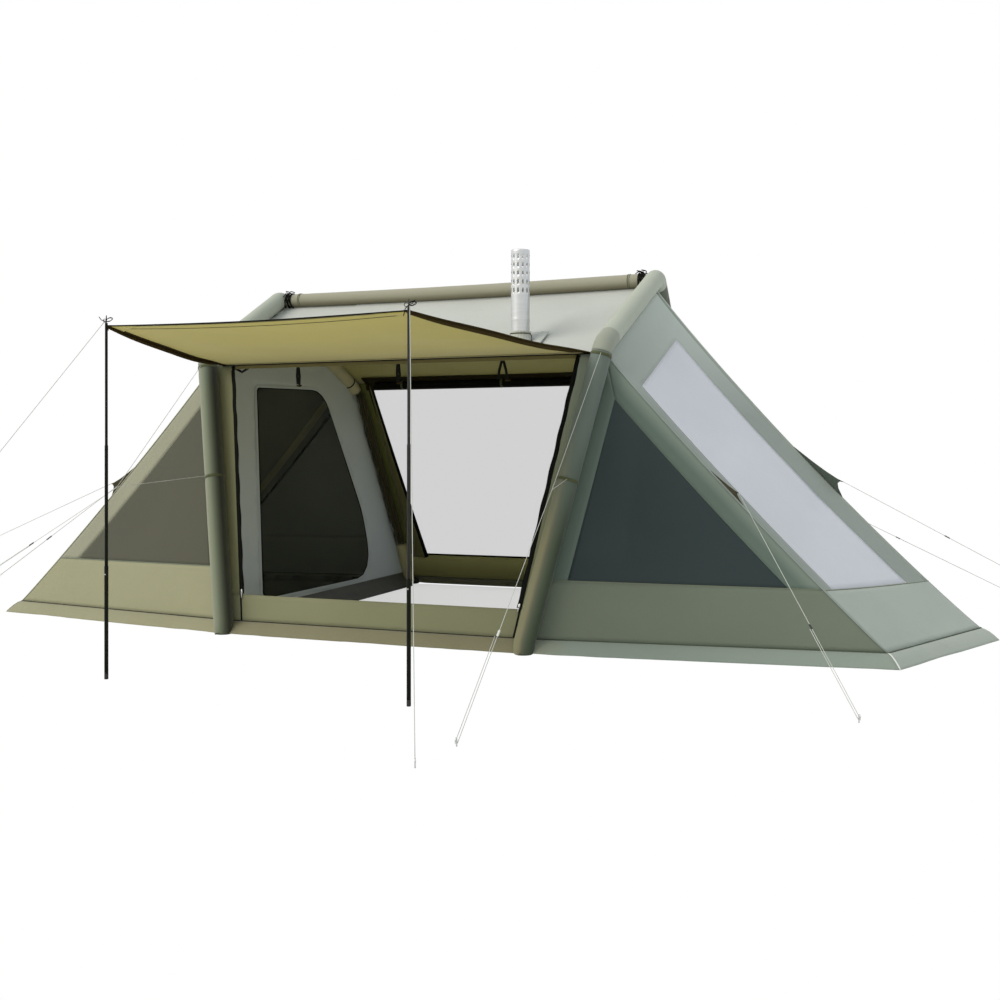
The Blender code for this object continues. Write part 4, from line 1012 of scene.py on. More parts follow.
# The pull tabs: a triangle of doubled webbing sewn into a seam, one on each front hip, one on the right
# ridge and one on the right back hip; its guy line runs from the tip. Each is given by its side and end,
# the shares of its root along the seam, the seam's height share, and its tip.
HIP_ROOT, HIP_V, RIDGE_ROOT, RIDGE_V = (0.40, 0.53), 0.004, (0.47, 0.62), 0.998
TAB_T = 0.003
hip_tab_cloth = narrow("brown_olive_webbing", "3B3721", "433F28")
ridge_tab_cloth = narrow("deep_green_webbing", "4A554B", "515C52")
tabs = {
    "hip_right": (1, -1, HIP_ROOT, HIP_V, (2.042, -1.0131, 0.8669), hip_tab_cloth),
    "hip_back_right": (1, 1, HIP_ROOT, HIP_V, (2.0847, 0.9647, 0.8735), seam_cloth),
    "hip_left": (-1, -1, HIP_ROOT, HIP_V, (-2.0643, -1.0015, 0.8742), hip_tab_cloth),
    "ridge_right": (1, -1, RIDGE_ROOT, RIDGE_V, (2.5301, -0.037, 0.904), ridge_tab_cloth),
}
for name, (side, end, root, seam_v, tip, finish) in tabs.items():
    start, stop = (wing_point(side, end, (s, s), seam_v) for s in root)
    rows = []
    for u in spaced(0.0, 1.0, 8):
        reach = min(1.0, 2.0 * min(u, 1 - u) + 0.04)
        rows.append([start.lerp(stop, u).lerp(at(*tip), v * reach) for v in spaced(0.0, 1.0, 6)])
    thicken(piece("pull_tab_" + name, skin(rows), "tent", finish), TAB_T)


# The mud flap. A strip sewn round the foot of the walls under a dark piping, spread out over the
# ground; it waves a little at its free edge. The corners have a pale sewn edge, and a peg
# loop of webbing holds each front foot.
FLAP_OUT, FLAP_LAP, FLAP_DROP, FLAP_STEP = 0.085, 0.004, 0.066, 0.03
FLAP_SHARES = (0.0, 0.2, 0.45, 0.7, 0.9, 1.0)
FLAP_FLAT_W = 0.116
LEG_CLEAR, LEG_ROUND = 0.135, 0.075
QUARTERS = ((1, -1), (1, 1), (-1, 1), (-1, -1))


def outward(first, second, third=None):
    """The level direction out from the line through two points, mitred at the second if there's a third."""
    one = Vector((second.y - first.y, first.x - second.x, 0)).normalized()
    if third is None:
        return one
    two = outward(second, third)
    return (one + two) / (1 + one.dot(two))


foot_ways = ((-RIGHT, -BACK), ((CORNER_C - FOOT_C).normalized(), outward(FOOT_C, CORNER_C)))
(door_way, door_out), (wing_way, wing_out) = foot_ways
quarter = [
    (Vector((0, FOOT_C.y, SEAM_Z)), door_out),
    (FOOT_C + door_way * LEG_CLEAR, door_out),
    (FOOT_C + door_way * LEG_ROUND, door_out),
    (FOOT_C + wing_way * LEG_ROUND, wing_out),
    (FOOT_C + wing_way * LEG_CLEAR, wing_out),
    (CORNER_C, outward(FOOT_C, CORNER_C, TIP_C)),
    (TIP_C, outward(CORNER_C, TIP_C, Vector((CORNER_C.x, -CORNER_C.y, SEAM_Z)))),
]
loop = []
for side, end in QUARTERS:
    turned = [(corner(p, side, end), Vector((side * n.x, -end * n.y, 0))) for p, n in quarter]
    loop += (turned if side * end < 0 else turned[::-1])[1:]
around = []
for (p, n), (q, m) in zip(loop, loop[1:] + loop[:1]):
    count = max(1, round((q - p).length / FLAP_STEP))
    around += [(p.lerp(q, i / count), n.lerp(m, i / count)) for i in range(count)]


def flap_point(place, v):
    """A point of the flap: its place on the seam, and v out to its free edge."""
    p, n = place
    wave = ruffle(p.x * 2.4, p.y * 2.4, 1.5, 0.005) + noise.noise(p * 9) * 0.003
    height = SEAM_Z - FLAP_DROP * v**1.6 + max(0.0, wave) * v * v
    return Vector((p.x, p.y, 0)) + n * ((FLAP_OUT + FLAP_LAP) * v) + UP * height


# The flap turns grey-green past the right front leg, painted cool light, and is paler still at its right end,
# painted light. In front of the doorway it is a darker olive.
flap_cloths = [
    woven("mud_flap_oxford", "908E72", "979579", drift=("8D988E", RIGHT, 0.8, 1.2)),
    woven("mud_flap_end_light_painted", "A3ACA2", "ABB4AA"),
    woven("olive_mud_flap_oxford", "7E7B62", "858269"),
]
rows = [[flap_point(place, v) for place in around] for v in FLAP_SHARES]
flap = piece("mud_flap", skin(rows, wrap=True), "tent", flap_cloths, "skirt")
for face in flap.data.polygons:
    j = face.index % len(around)
    bases = (around[j][0].x, around[(j + 1) % len(around)][0].x)
    at_door = max(abs(base) for base in bases) < FOOT_C.x
    face.material_index = 2 if at_door else int(min(bases) > CORNER_C.x - 0.001)
hang(flap, flat=(FLAP_FLAT_W, length_of([p for p, _ in around + around[:1]])))
white_tape = narrow("white_seam_tape", "E4E6E2", "ECEEEA", thread=FINE_THREAD)
mitres = []
for side, end in QUARTERS:
    near = min(around, key=lambda one: (one[0] - corner(CORNER_C, side, end)).length)
    path = [flap_point(near, v) + UP * 0.001 for v in spaced(0.0, 1.0, 8)]
    mitres.append(swept(path, tape(0.009, 0.0012), (near[1] * 0.6 + UP).normalized()))
piece("flap_mitres", mitres, "tent", white_tape)
loops = []
for side in (-1, 1):
    start = leg_axis(side, -1, 0.05) + Vector((0, -0.055, -0.041))
    turns = spaced(0.0, math.tau, 24)
    path = [start + Vector((0.007 * math.sin(a), -0.014 * (1 - math.cos(a)), 0)) for a in turns]
    loops.append(swept(path, circle(0.0022), caps=False))
piece("foot_peg_loops", loops, "tent", webbing)
# The piping turns grey-green past the right front leg: painted cool light.
piping_cloth = narrow("olive_black_piping", "26271A", "2C2D20", sheen=0.0, drift=("4C5747", RIGHT, 0.9, 1.2))
closed = around + around[:1]
leans = [Vector((n.x, n.y, 0.5)).normalized() for _, n in closed]
seam = swept([p + n * 0.002 for p, n in closed], circle(0.0034), leans, caps=False)
piece("base_piping", seam, "tent", piping_cloth)


# The left room's partition. A pale grey inner sheet across the tent, with a D-shaped mesh door hinged at
# the front: a black piping runs round the door, and a pale tape round its opening. Below it a strip of
# groundsheet turns up. The door's outline goes round its corners, from the hinge's foot.
PARTITION_LEAN, PARTITION_OUT, PARTITION_GAP = 0.2030, 0.0152, 0.98
DOOR_CORNERS = [(-0.86, 0.14), (0.68, 0.13), (0.69, 0.62), (0.41, 1.56), (-0.50, 1.53)]
DOOR_ROUNDS = [(0.03, 1), (0.26, 4), (0.6, 3), (0.20, 4), (0.03, 1)]
DOOR_MIDDLE_Z, DOOR_CLEAR, TRIM_GROW = 0.85, 0.010, (0.012, 0.008)
PARTITION_LOW, FOOT_TOP = 0.006, 0.105
INWARD = Vector((1, 0, 0.2))


def partition_at(y, z, out=0.0):
    """A point of the partition, or this far inwards from it."""
    return at(-(FOOT_X + PARTITION_OUT + PARTITION_LEAN * z) + out * PARTITION_GAP, y, z)


def half_width(z):
    """Half of the partition's width at a height: along the walls, then under the roof."""
    if z <= KNEE_C.z:
        return SEAM_Y - WALL_SLOPE * z - 0.006
    share = (z - KNEE_C.z) / (APEX_C.z - KNEE_C.z)
    return (SEAM_Y - WALL_SLOPE * KNEE_C.z) * (1 - share) + 0.002


def partition_place(y, z):
    """A point of the slack sheet, which swells away from the room between its edges."""
    swell = ruffle(y * 1.7, z * 1.7, 11.0, 0.010) + ruffle(y * 6, z * 2, 12.0, 0.003)
    edge = min(1.0, (half_width(z) - abs(y)) / 0.15)
    return partition_at(y, z, -abs(swell) * max(0.0, edge))


def foot_place(y, z):
    """A point of the groundsheet's strip, which turns into the room at the ground."""
    edge = min(1.0, (half_width(z) - abs(y)) / 0.1)
    return partition_at(y, z, 0.004 + 0.10 * (1 - z / FOOT_TOP) ** 2 * edge)


# The partition turns paler and bluer towards its foot, and so darker towards its top: painted shade.
inner_cloth = woven("pale_inner_polyester", "C0C6BC", "C8CEC4", slack=0.5, drift=("CAD3DA", -UP, -1.4, -0.3))
door_mesh = woven("black_door_mesh", "383C34", "3E4239", COARSE_THREAD, 0.3, sheen=0.05, alpha=0.29)
floor_cloth = woven("dark_groundsheet", "3C3E38", "454740", slack=1.2, roughness=0.55)
marks = [Vector((y, z, 0)) for y, z in DOOR_CORNERS]
door_outline = []
for i, (radius, steps) in enumerate(DOOR_ROUNDS):
    round_corner = bent([marks[i - 1], marks[i], marks[(i + 1) % len(marks)]], radius, steps)
    door_outline += [(round(p.x, 4), round(p.y, 4)) for p in round_corner[1:-1]]
low, high = half_width(PARTITION_LOW) - 0.012, half_width(KNEE_C.z)
outline = [(-low, PARTITION_LOW), (low, PARTITION_LOW), (high, KNEE_C.z), (0.0, APEX_C.z - 0.004)]
cloth = filled(partition_place, outline + [(-high, KNEE_C.z)], [door_outline], 0.06)
partition = piece("partition_sheet", cloth, "tent", inner_cloth, "partition")
hang(partition)
door_middle = (sum(a for a, _ in door_outline) / len(door_outline), DOOR_MIDDLE_Z)
leaf_outline = [tuple(p + (m - p) * DOOR_CLEAR for p, m in zip(pair, door_middle)) for pair in door_outline]
leaf = filled(partition_at, leaf_outline, (), 0.07)
leaf = piece("mesh_door_leaf", leaf, "mesh_door", door_mesh, "partition_door")
rim = even([partition_at(*pair) for pair in leaf_outline + leaf_outline[:1]], 0.05)
door_edge = piece("door_piping", swept(rim, circle(0.0035), INWARD, caps=False), "mesh_door", zip_black)
hang(leaf)
rim = [[p + (p - m) * grow for p, m, grow in zip(pair, door_middle, TRIM_GROW)] for pair in door_outline]
rim = even([partition_at(*pair, 0.001) for pair in rim + rim[:1]], 0.05)
piece("door_trim", swept(rim, tape(0.020, 0.0015), INWARD, caps=False), "tent", inner_cloth)


# The left room's own trim. A wide pale tape runs inside its back hip with a narrow dark one beside it,
# and a groundsheet lies in it, with its edges turned up against the walls.
TAPE_OFF = Vector((0.010, -0.012, -0.010))
FLOOR_RISE, FLOOR_EDGE, FLOOR_Z, FLOOR_RUMPLE = 0.058, 0.035, 0.0035, 0.004
tapes = []
for v, width in ((0.125, 0.070), (0.012, 0.026)):
    path = [p + TAPE_OFF for p in wing_line(-1, 1, 0.02, 0.9, v, 40)]
    tapes.append(swept(path, tape(width, 0.002), -facing(WING_ROOF_OUT, -1, 1)))
piece("left_hip_tape", tapes[0], "tent", narrow("olive_hip_tape", "D6CC98", "DDD39F"))
piece("left_hip_piping", tapes[1], "tent", black_webbing)
half = half_width(0.1) - 0.02
rows = [[foot_place(y, z) for y in spaced(-half, half, 60)] for z in spaced(0.004, FOOT_TOP, 8)]
hang(piece("partition_foot", skin(rows), "tent", floor_cloth))


def floor_place(x, y):
    """A point of the groundsheet, turned up near its edges."""
    side_y = -FOOT_C.y + (FOOT_C.y - CORNER_C.y) * (-x - FOOT_C.x) / (CORNER_C.x - FOOT_C.x)
    end_x = TIP_C.x - (TIP_C.x - CORNER_C.x) * abs(y / CORNER_C.y)
    edge = min(side_y - abs(y), (end_x + x) * 0.9)
    turned_up = FLOOR_RISE * max(0.0, 1 - edge / FLOOR_EDGE) ** 1.5
    return at(x, y, FLOOR_Z + max(0.0, ruffle(x * 3, y * 3, 1, FLOOR_RUMPLE)) + turned_up)


far = -CORNER_C.x + 0.006
marks = [(-0.972, -1.258), (far, -1.024), (-TIP_C.x + 0.008, 0.0), (far, 1.024), (-0.972, 1.258)]
cloth = filled(floor_place, marks, (), 0.035)
hang(piece("left_groundsheet", cloth, "tent", floor_cloth, "wing_floor_left"))


# The back doorway. Its mesh screen closes it, with a gusset and a zip at its left side and a bound head;
# the outer door is rolled up over it and tied under the eave with three straps.
GUSSET_W, GUSSET_LEAST, GUSSET_ZIP_W = 0.115, 0.004, 0.044
HEAD_ZS, HEAD_HALF, HEAD_LIFT, HEAD_SUNK = (1.582, 1.60, 1.622), 1.175, 0.016, 0.014
ROLL_SIDES, ROLL_LIP, ROLL_PINCH, ROLL_STEP, TIE_W, TIE_T = 36, 0.10, 0.12, 0.03, 0.02, 0.0016
screen_mesh = narrow("grey_screen_mesh", "2C2D2C", "323331", sheen=0.0, alpha=0.2)
gusset_cloth = woven("olive_brown_gusset", "66633C", "6D6A43")
roll_cloth = woven("black_green_oxford", "0D0D06", "11110A", sheen=0.0, gloss=0.1)
head_cloth = woven("brown_black_binding", "2A2612", "302C18", sheen=0.0, gloss=0.1)
sill = SILL_Z[1]
rows = []
for z in spaced(sill + 0.002, KNEE_C.z - 0.004, 30):
    half = door_x(z) - 0.002
    rows.append([wall_at(1, 1, x, z) for x in spaced(-half, half, 24)])
screen = piece("back_screen_mesh", skin(rows), "tent", screen_mesh, "back_screen")
hang(screen)
rows, zip_path = [], []
for z in spaced(sill - 0.02, KNEE_C.z - 0.02, 40):
    width = GUSSET_W * (1 - (z - sill) / (KNEE_C.z - sill)) ** 1.15 + GUSSET_LEAST
    row = []
    for u in spaced(0.0, 1.0, 6):
        fold = 0.006 + 0.010 * math.sin(math.pi * u) + ruffle(z * 6, u, 3, 0.002)
        row.append(wall_at(1, 1, -door_x(z) + width * u - 0.01 * (1 - u), z) - BACK * fold)
    rows.append(row)
    zip_path.append(wall_at(1, 1, -door_x(z) + width - 0.006, z) - BACK * 0.008)
hang(piece("back_left_gusset", skin(rows), "tent", gusset_cloth))
piece("back_left_zip", swept(zip_path, tape(GUSSET_ZIP_W, 0.002), -BACK), "tent", zip_black)


# The back left corner, seen through the doorway. Slack folds of the inner sheet hang beside the leg,
# painted dark umber for the shade in them, and a pale cuff with a black strap covers the arch's knee, another
# its foot.
FOLD_TUBES = ((0.034, 0.022), (0.070, 0.016))
CUFF_MARKS = [(-1.262, 0.915, 1.575), (-1.272, 0.865, 1.628), (-1.302, 0.56, 1.79)]
FOOT_MARKS = [(-0.932, 1.235, 0.02), (-0.985, 1.195, 0.335)]
CUFF_R, CUFF_STRAP_R, CUFF_STRAP_W, FOOT_COVER_R, STRAP_AT = 0.052, 0.0485, 0.012, 0.045, 4
fold_shade_cloth = woven("inner_fold_shade_painted", "3A351B", "413C22", slack=0.6)
inner_cuff_cloth = woven("beige_inner_cuff", "B3AC82", "BAB389", slack=0.6)
folds = []
for offset, radius in FOLD_TUBES:
    heights = spaced(0.34, 1.56, 40)
    inward = [offset + ruffle(z * 2.5, offset * 40, 8, 0.006) for z in heights]
    path = [partition_at(SEAM_Y - WALL_SLOPE * z - 0.040, z, out) for z, out in zip(heights, inward)]
    sizes = [0.55 + 0.45 * min(1.0, 8 * min(i, len(path) - 1 - i) / len(path)) for i in range(len(path))]
    folds.append(swept(path, circle(radius, 20), scale=sizes))
piece("corner_folds", folds, "tent", fold_shade_cloth)
path = even([at(*p) for p in CUFF_MARKS], SLEEVE_STEP)
sizes = [1.0 - 0.08 * bell(i - STRAP_AT, 1.2) for i in range(len(path))]
piece("corner_cuff", swept(path, circle(CUFF_R, 28), scale=sizes), "tent", inner_cuff_cloth)
rise, side = frames(path)[STRAP_AT][1:]
strap = hoop(path[STRAP_AT], rise, side, CUFF_STRAP_R, tape(CUFF_STRAP_W, 0.003), 32)
piece("corner_strap", strap, "tent", black_webbing)
path = even([at(*p) for p in FOOT_MARKS], SLEEVE_STEP)
sizes = [1.0 - 0.1 * i / len(path) for i in range(len(path))]
piece("corner_foot", swept(path, circle(FOOT_COVER_R, 24), scale=sizes), "tent", inner_cuff_cloth)


# The rolled door. A wound sheet whose outer edge stands a little proud, pinched by its three ties, under
# a brown-black head that binds the wall's top to the roof.
roll_low, roll_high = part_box("back_door_roll")
roll_middle = (roll_low + roll_high) / 2
roll_r = min(roll_high.y - roll_low.y, roll_high.z - roll_low.z) / 2
path = even([Vector((x, roll_middle.y, roll_middle.z)) for x in (roll_low.x, roll_high.x)], ROLL_STEP)
ties = [path[i] for i in (8, len(path) // 2, len(path) - 9)]
rows = []
for p in path:
    squeeze = 1 - ROLL_PINCH * sum(bell((p - tie).length, 0.03) for tie in ties)
    row = []
    for k in range(ROLL_SIDES):
        turn = k / ROLL_SIDES
        lip = 0.87 + ROLL_LIP * turn + ruffle(p.x * 4, turn * 2, 3, 0.03)
        angle = math.tau * turn
        row.append(p + (BACK * math.cos(angle) + UP * math.sin(angle)) * (roll_r * squeeze * lip))
    rows.append(row)
head = [wall_at(1, 1, 0, z) - BACK * HEAD_SUNK for z in HEAD_ZS]
for rise in spaced(0.012, 0.105, 5):
    slope = at(0, EAVE_Y - rise * ROOF_OUT.z, KNEE_C.z + rise * ROOF_OUT.y)
    head.append(slope - ROOF_OUT * HEAD_LIFT)
head = [[Vector((x, p.y, p.z)) for x in spaced(-HEAD_HALF, HEAD_HALF, 40)] for p in head]
hang(piece("back_door_head", skin(head), "tent", head_cloth))
roll = skin(rows, wrap=True, caps=True)
piece("rolled_back_door", roll, "tent", roll_cloth, "back_door_roll")
bands = [hoop(tie, BACK, UP, roll_r * 0.94, tape(TIE_W, TIE_T), 24) for tie in ties]
piece("roll_ties", bands, "tent", webbing)


# The awning. The front door's own flap, held up by two poles: khaki below, bound in dark brown at its
# sides, with a seam inside its outer edge, a doubled patch at each pole and a black cord in its rim. It
# bends on a piping along the eave, and loops with toggles hang there to tie the flap when it is rolled.
AWNING_SAG, AWNING_START = 0.045, 0.002
HINGE_HALF, HINGE_Y, HINGE_Z = 1.222, -0.9488, 1.6405
OUTER_X, OUTER_Y, OUTER_Z = (-0.7025, 0.8725), -2.63, 1.685
SEAM_VS, HEM_V, PATCH_LONG, PATCH_WIDE = (0.035, 0.952), 0.994, 0.10, 0.11
SIDE_BINDINGS = ((0.0, 0.032), (1.0, 0.036))
VALANCE = [(-0.0010, 0.002), (-0.0010, -0.026), (0.0010, -0.026), (0.0010, 0.002)]
TOGGLES = ((-0.68, 0.006), (0.01, 0.006), (0.68, 0.030))
khaki = woven("khaki_oxford", "B1A447", "B8AB50", slack=0.8)
khaki_dark = woven("khaki_seam", "5F5930", "665F36", slack=0.0)
brown = narrow("brown_binding", "372C15", "3F341B", sheen=0.0, gloss=0.05)
hinge_l, hinge_r = (at(x, HINGE_Y, HINGE_Z) for x in (-HINGE_HALF, HINGE_HALF))
outer_l, outer_r = (at(x, OUTER_Y, OUTER_Z) for x in OUTER_X)


def awning_at(u, v, lift=0.0):
    """A point of the awning: u from its left side to its right, v out from the eave."""
    flat = hinge_l.lerp(hinge_r, u).lerp(outer_l.lerp(outer_r, u), v)
    sag = hump(u) * (0.25 * v + 0.75 * hump(v) ** 0.8) + 0.25 * hump(v) * (1 - hump(u))
    drop = AWNING_SAG * sag * min(1.0, v / 0.3)
    drop += ruffle(u * 5, v * 2.2, 21, 0.010) * hump(v) + ruffle(u * 1.5, v * 9, 22, 0.004) * hump(u)
    return flat - UP * (drop - lift)


def awning_seam(v, low, high, section):
    """A trim along the awning at this share of the way out."""
    return swept([awning_at(u, v, -0.0008) for u in spaced(low, high, 72)], section, UP)


def corner_patch(start, way):
    """A triangle of cloth in an outer corner of the awning, on its underside."""
    rows = []
    for k in range(7):
        reach, v = way * (1 - k / 6), 1.0 - PATCH_LONG * k / 6
        rows.append([awning_at(start + reach * j / 6, v, -0.002) for j in range(7)])
    return skin(rows)


rows = [[awning_at(u, v) for u in spaced(0, 1, 72)] for v in spaced(AWNING_START, 1, 48)]
awning = piece("awning_sheet", skin(rows), "awning_flap", khaki, "awning")
trims = []
for u, width in SIDE_BINDINGS:
    path = [awning_at(abs(u - 0.006), v, -0.001) for v in spaced(0.007, 1, 48)]
    trims.append(swept(path, tape(width, -0.0022), UP))
    trims.append(swept([p + UP * 0.0022 for p in path], tape(width, 0.0022), UP))
depths = [min(1.0, 0.12 + v / 0.15) * (1 - 0.5 * abs(2 * v - 1) ** 3) for v in spaced(0, 1, 48)]
for u in (0.001, 0.999):
    trims.append(swept([awning_at(u, v) for v in spaced(0.015, 1, 48)], VALANCE, UP, scale=depths))
bindings = piece("awning_bindings", trims, "awning_flap", brown)
seams = [awning_seam(v, 0.01, 0.99, tape(0.005, -0.0014)) for v in SEAM_VS]
seams.append(awning_seam(HEM_V, 0.0, 1.0, tape(0.016, -0.0018)))
seams = piece("awning_seams", seams, "awning_flap", khaki_dark)
rim = swept([awning_at(u, 1.0) for u in spaced(0.0, 1.0, 72)], circle(0.0028))
rim = piece("awning_rim", rim, "awning_flap", black_webbing)
patches = [corner_patch(0.0, PATCH_WIDE), corner_patch(1.0, -PATCH_WIDE)]
patches = piece("awning_corners", patches, "awning_flap", khaki)
thicken(patches, 0.0015)
hang(awning)
path = [hinge_l.lerp(hinge_r, u) + Vector((0, 0.005, -0.010)) for u in spaced(0.03, 0.97, 60)]
piece("awning_hinge_hem", swept(path, tape(0.034, 0.0025), -BACK), "tent", khaki_dark)
path = [hinge_l.lerp(hinge_r, u) - UP * 0.002 for u in spaced(0.0, 1.0, 60)]
piece("awning_hinge_piping", swept(path, circle(0.0045, 10)), "tent", black_webbing)
straps, buttons = [], []
for x, spread in TOGGLES:
    for way, drop in ((-1, 0.110), (1, 0.125)):
        top = at(x + way * 0.004, -0.930, 1.618)
        low = at(x + way * spread, -0.925, 1.618 - drop)
        path = even([top, top.lerp(low, 0.5) + RIGHT * (way * 0.004), low], 0.01)
        straps.append(swept(path, tape(0.016, 0.002), -BACK))
    path = [at(x + spread + along, -0.927, 1.50) for along in (-0.018, 0, 0.018)]
    buttons.append(swept(path, circle(0.005, 12), scale=[0.8, 1.0, 0.8]))
path = even([at(-1.15, -0.93, 1.625), at(-1.09, -0.93, 1.595), at(-1.03, -0.93, 1.625)], 0.01)
straps.append(swept(path, tape(0.014, 0.002), -BACK))
piece("toggle_straps", straps, "tent", black_webbing)
piece("toggle_buttons", buttons, "tent", brown)


# The awning's poles. Steel tube in three sizes: an enamelled lower length with a rubber foot, and an
# upper one, bare at the right, that slides in it and ends in a spike through the awning's eyelet. The
# enamel is near black and satin, the bare steel grey with faint zinc crystals, the rubber dead matt.
POLES = ((-1, "left", -0.709), (1, "right", 0.879))
LOWER_TUBE = (
    (0.0070, 0.028), (0.0094, 0.028), (0.0094, 0.512), (0.0095, 0.514), (0.0095, 0.536), (0.0093, 0.5395),
    (0.0086, 0.5395),
)
RUBBER_FOOT = (
    (0.007, 0.0), (0.0092, 0.001), (0.0095, 0.004), (0.0095, 0.026), (0.0088, 0.030), (0.0075, 0.030),
)
UPPER_TUBE = (
    (0.0060, 0.49), (0.0080, 0.49), (0.0080, 1.088), (0.0080, 1.090), (0.0080, 1.112), (0.0077, 1.115),
    (0.0066, 1.1155), (0.0065, 1.116), (0.0065, 1.69), (0.0061, 1.699), (0.0048, 1.700), (0.0025, 1.7005),
    (0.0025, 1.730), (0.0018, 1.7345), (0.0004, 1.735),
)
TIE_LOOPS = ((0.042, 0.012, 0.9), (0.036, 0.004, 2.4), (0.046, 0.006, -0.5))
enamel = mottled("black_green_enamel", "0E120A", "171B12", (0.35, 0.5), 45.0, detail=4.0, gloss=0.08)
steel = mottled("galvanised_steel", "1A1B18", "262724", (0.34, 0.5), 70.0, metallic=0.5, crystals=True)
rubber = mottled("black_rubber", "141414", "222222", (0.75, 0.75), 220.0)


def lathe(axis, profile):
    """A turned shape about an upright axis; the profile is (radius, height) pairs, closed at its ends."""
    rows = [ring(axis + UP * z, RIGHT, BACK, r, 32)[:-1] for r, z in profile]
    mesh = skin(rows, wrap=True, caps=True)
    mesh.shade_smooth()
    return mesh


for side, name, x in POLES:
    axis = at(x, OUTER_Y, 0)
    piece("pole_lower_tube_" + name, lathe(axis, LOWER_TUBE), "tent", enamel, "pole_lower_" + name)
    piece("pole_foot_" + name, lathe(axis, RUBBER_FOOT), "tent", rubber)
    finish, node = enamel if side < 0 else steel, "pole_upper_" + name
    piece("pole_upper_tube_" + name, lathe(axis, UPPER_TUBE), node, finish, node)
    ties = []
    for reach, rise, lean in TIE_LOOPS:
        way = Vector((math.cos(lean), math.sin(lean) * 0.4, 0)) * (reach * 0.5)
        path = [
            axis + UP * (1.708 + rise * math.sin(a / 2) + 0.008 * math.sin(a)) + way * (1 - math.cos(a))
            for a in spaced(0.0, math.tau, 24)
        ]
        ties.append(swept(path, circle(0.0014), caps=False))
    for dx, dz in ((0.035 * side, 0.022), (-0.020 * side, -0.045)):
        tail = ((0, -0.006, 0), (dx * 0.6, -0.010, dz * 0.3), (dx, -0.010, dz))
        tail = [axis + UP * 1.706 + Vector(step) for step in tail]
        ties.append(swept(even(tail, 0.01), circle(0.002)))
    piece("pole_ties_" + name, ties, "awning_flap", black_webbing)
    button = [axis + Vector((0, -0.0075, 0.500)), axis + Vector((0, -0.0098, 0.500))]
    piece("pole_button_" + name, swept(button, circle(0.003, 12)), "tent", zinc)


# The flue and its jack. A bright tube of brushed stainless steel, slotted in its upper half and beaded
# at its joints, stands through the front roof; a square of pale heat-proof cloth and a gathered collar
# with a tie seal it.
FLUE_R, FLUE_LOW, FLUE_TOP = 0.0551, 1.655, 2.283
FLUE_AROUND, FLUE_RINGS = 72, 76
FLUE_BEADS, BEAD_OUT = (1.774, 1.869, 2.27), 0.0012
SLOT_ROWS, SLOT_EVERY, SLOT_WIDE, FLUE_WALL = (46, 52, 58, 64, 70), 6, 2, 0.0012
JACK_HALF_X, JACK_HALF_Y, JACK_HOLE_R = 0.14, 0.14 * 0.888, 0.068
COLLAR_STEPS = (
    (0.0, 0.074), (0.25, 0.068), (0.5, 0.063), (0.72, 0.0605), (0.8, 0.0595), (0.88, 0.0605), (1.0, 0.064),
)
COLLAR_TOP, COLLAR_SIDES, PLEATS, PLEAT_DEEP, TIE_Z, TIE_R = 1.800, 96, 24, 0.035, 1.786, 0.0622
ROOF_SLOPE = (APEX_C.z - KNEE_C.z) / EAVE_Y
flue_steel = mottled(
    "stainless_steel", "BDC0C4", "DDDFE2", (0.28, 0.45), 9.0, detail=3.0, metallic=0.6, flat=40.0
)
jack_cloth = woven("heatproof_cloth", "BDC0BB", "C4C7C2", COARSE_THREAD, 0.2)
flue_axis = at(FLUE_X, FLUE_Y, 0)
rows = []
for z in spaced(FLUE_LOW, FLUE_TOP, FLUE_RINGS):
    radius = FLUE_R + BEAD_OUT * sum(bell(z - bead, 0.006) for bead in FLUE_BEADS)
    rows.append(ring(flue_axis + UP * z, RIGHT, BACK, radius, FLUE_AROUND)[:-1])
slots = {
    j * FLUE_AROUND + k
    for centre in SLOT_ROWS
    for j in (centre - 1, centre, centre + 1)
    for k in range(FLUE_AROUND)
    if k % SLOT_EVERY < SLOT_WIDE
}
cut, shell = parted(skin(rows, wrap=True), slots)
bpy.data.meshes.remove(cut)
thicken(piece("flue_shell", shell, "flue", flue_steel, "flue_pipe"), FLUE_WALL)


def roof_at(x, y, lift=0.0):
    """A point on the front roof's plane."""
    return at(x, y, APEX_C.z + y * ROOF_SLOPE) + facing(ROOF_OUT, 1, -1) * lift


def patch_place(x, y):
    """A point of the jack's patch, which lies on the roof."""
    return roof_at(x, y, 0.0035 + ruffle(x * 20, y * 20, 0, 0.0008))


square = ((-1, -1), (1, -1), (1, 1), (-1, 1))
square = [(FLUE_X + a * JACK_HALF_X, FLUE_Y + b * JACK_HALF_Y) for a, b in square]
patch = filled(patch_place, square, [round_hole(FLUE_X, FLUE_Y, JACK_HOLE_R)], 0.02)
patch = piece("jack_patch", patch, "tent", jack_cloth, "stove_jack")
rows = []
for share, radius in COLLAR_STEPS:
    row = []
    for a in spaced(0.0, math.tau, COLLAR_SIDES)[:-1]:
        base = roof_at(FLUE_X + radius * math.cos(a), FLUE_Y + radius * math.sin(a), 0.005)
        out = radius * (1 + PLEAT_DEEP * share * math.sin(PLEATS * a))
        spot = flue_axis + (RIGHT * math.cos(a) + BACK * math.sin(a)) * out
        row.append(spot + UP * (base.z + (COLLAR_TOP - base.z) * share))
    rows.append(row)
thicken(piece("jack_collar", skin(rows, wrap=True), "tent", jack_cloth))
tie = ring(flue_axis + UP * TIE_Z, RIGHT, BACK, TIE_R, 48)
tail = ((0.002, -0.01, 0), (0.012, -0.014, -0.012), (0.016, -0.016, -0.06), (0.014, -0.018, -0.09))
tail = even(bent([tie[0] + Vector(step) for step in tail], 0.008, 4), 0.01)
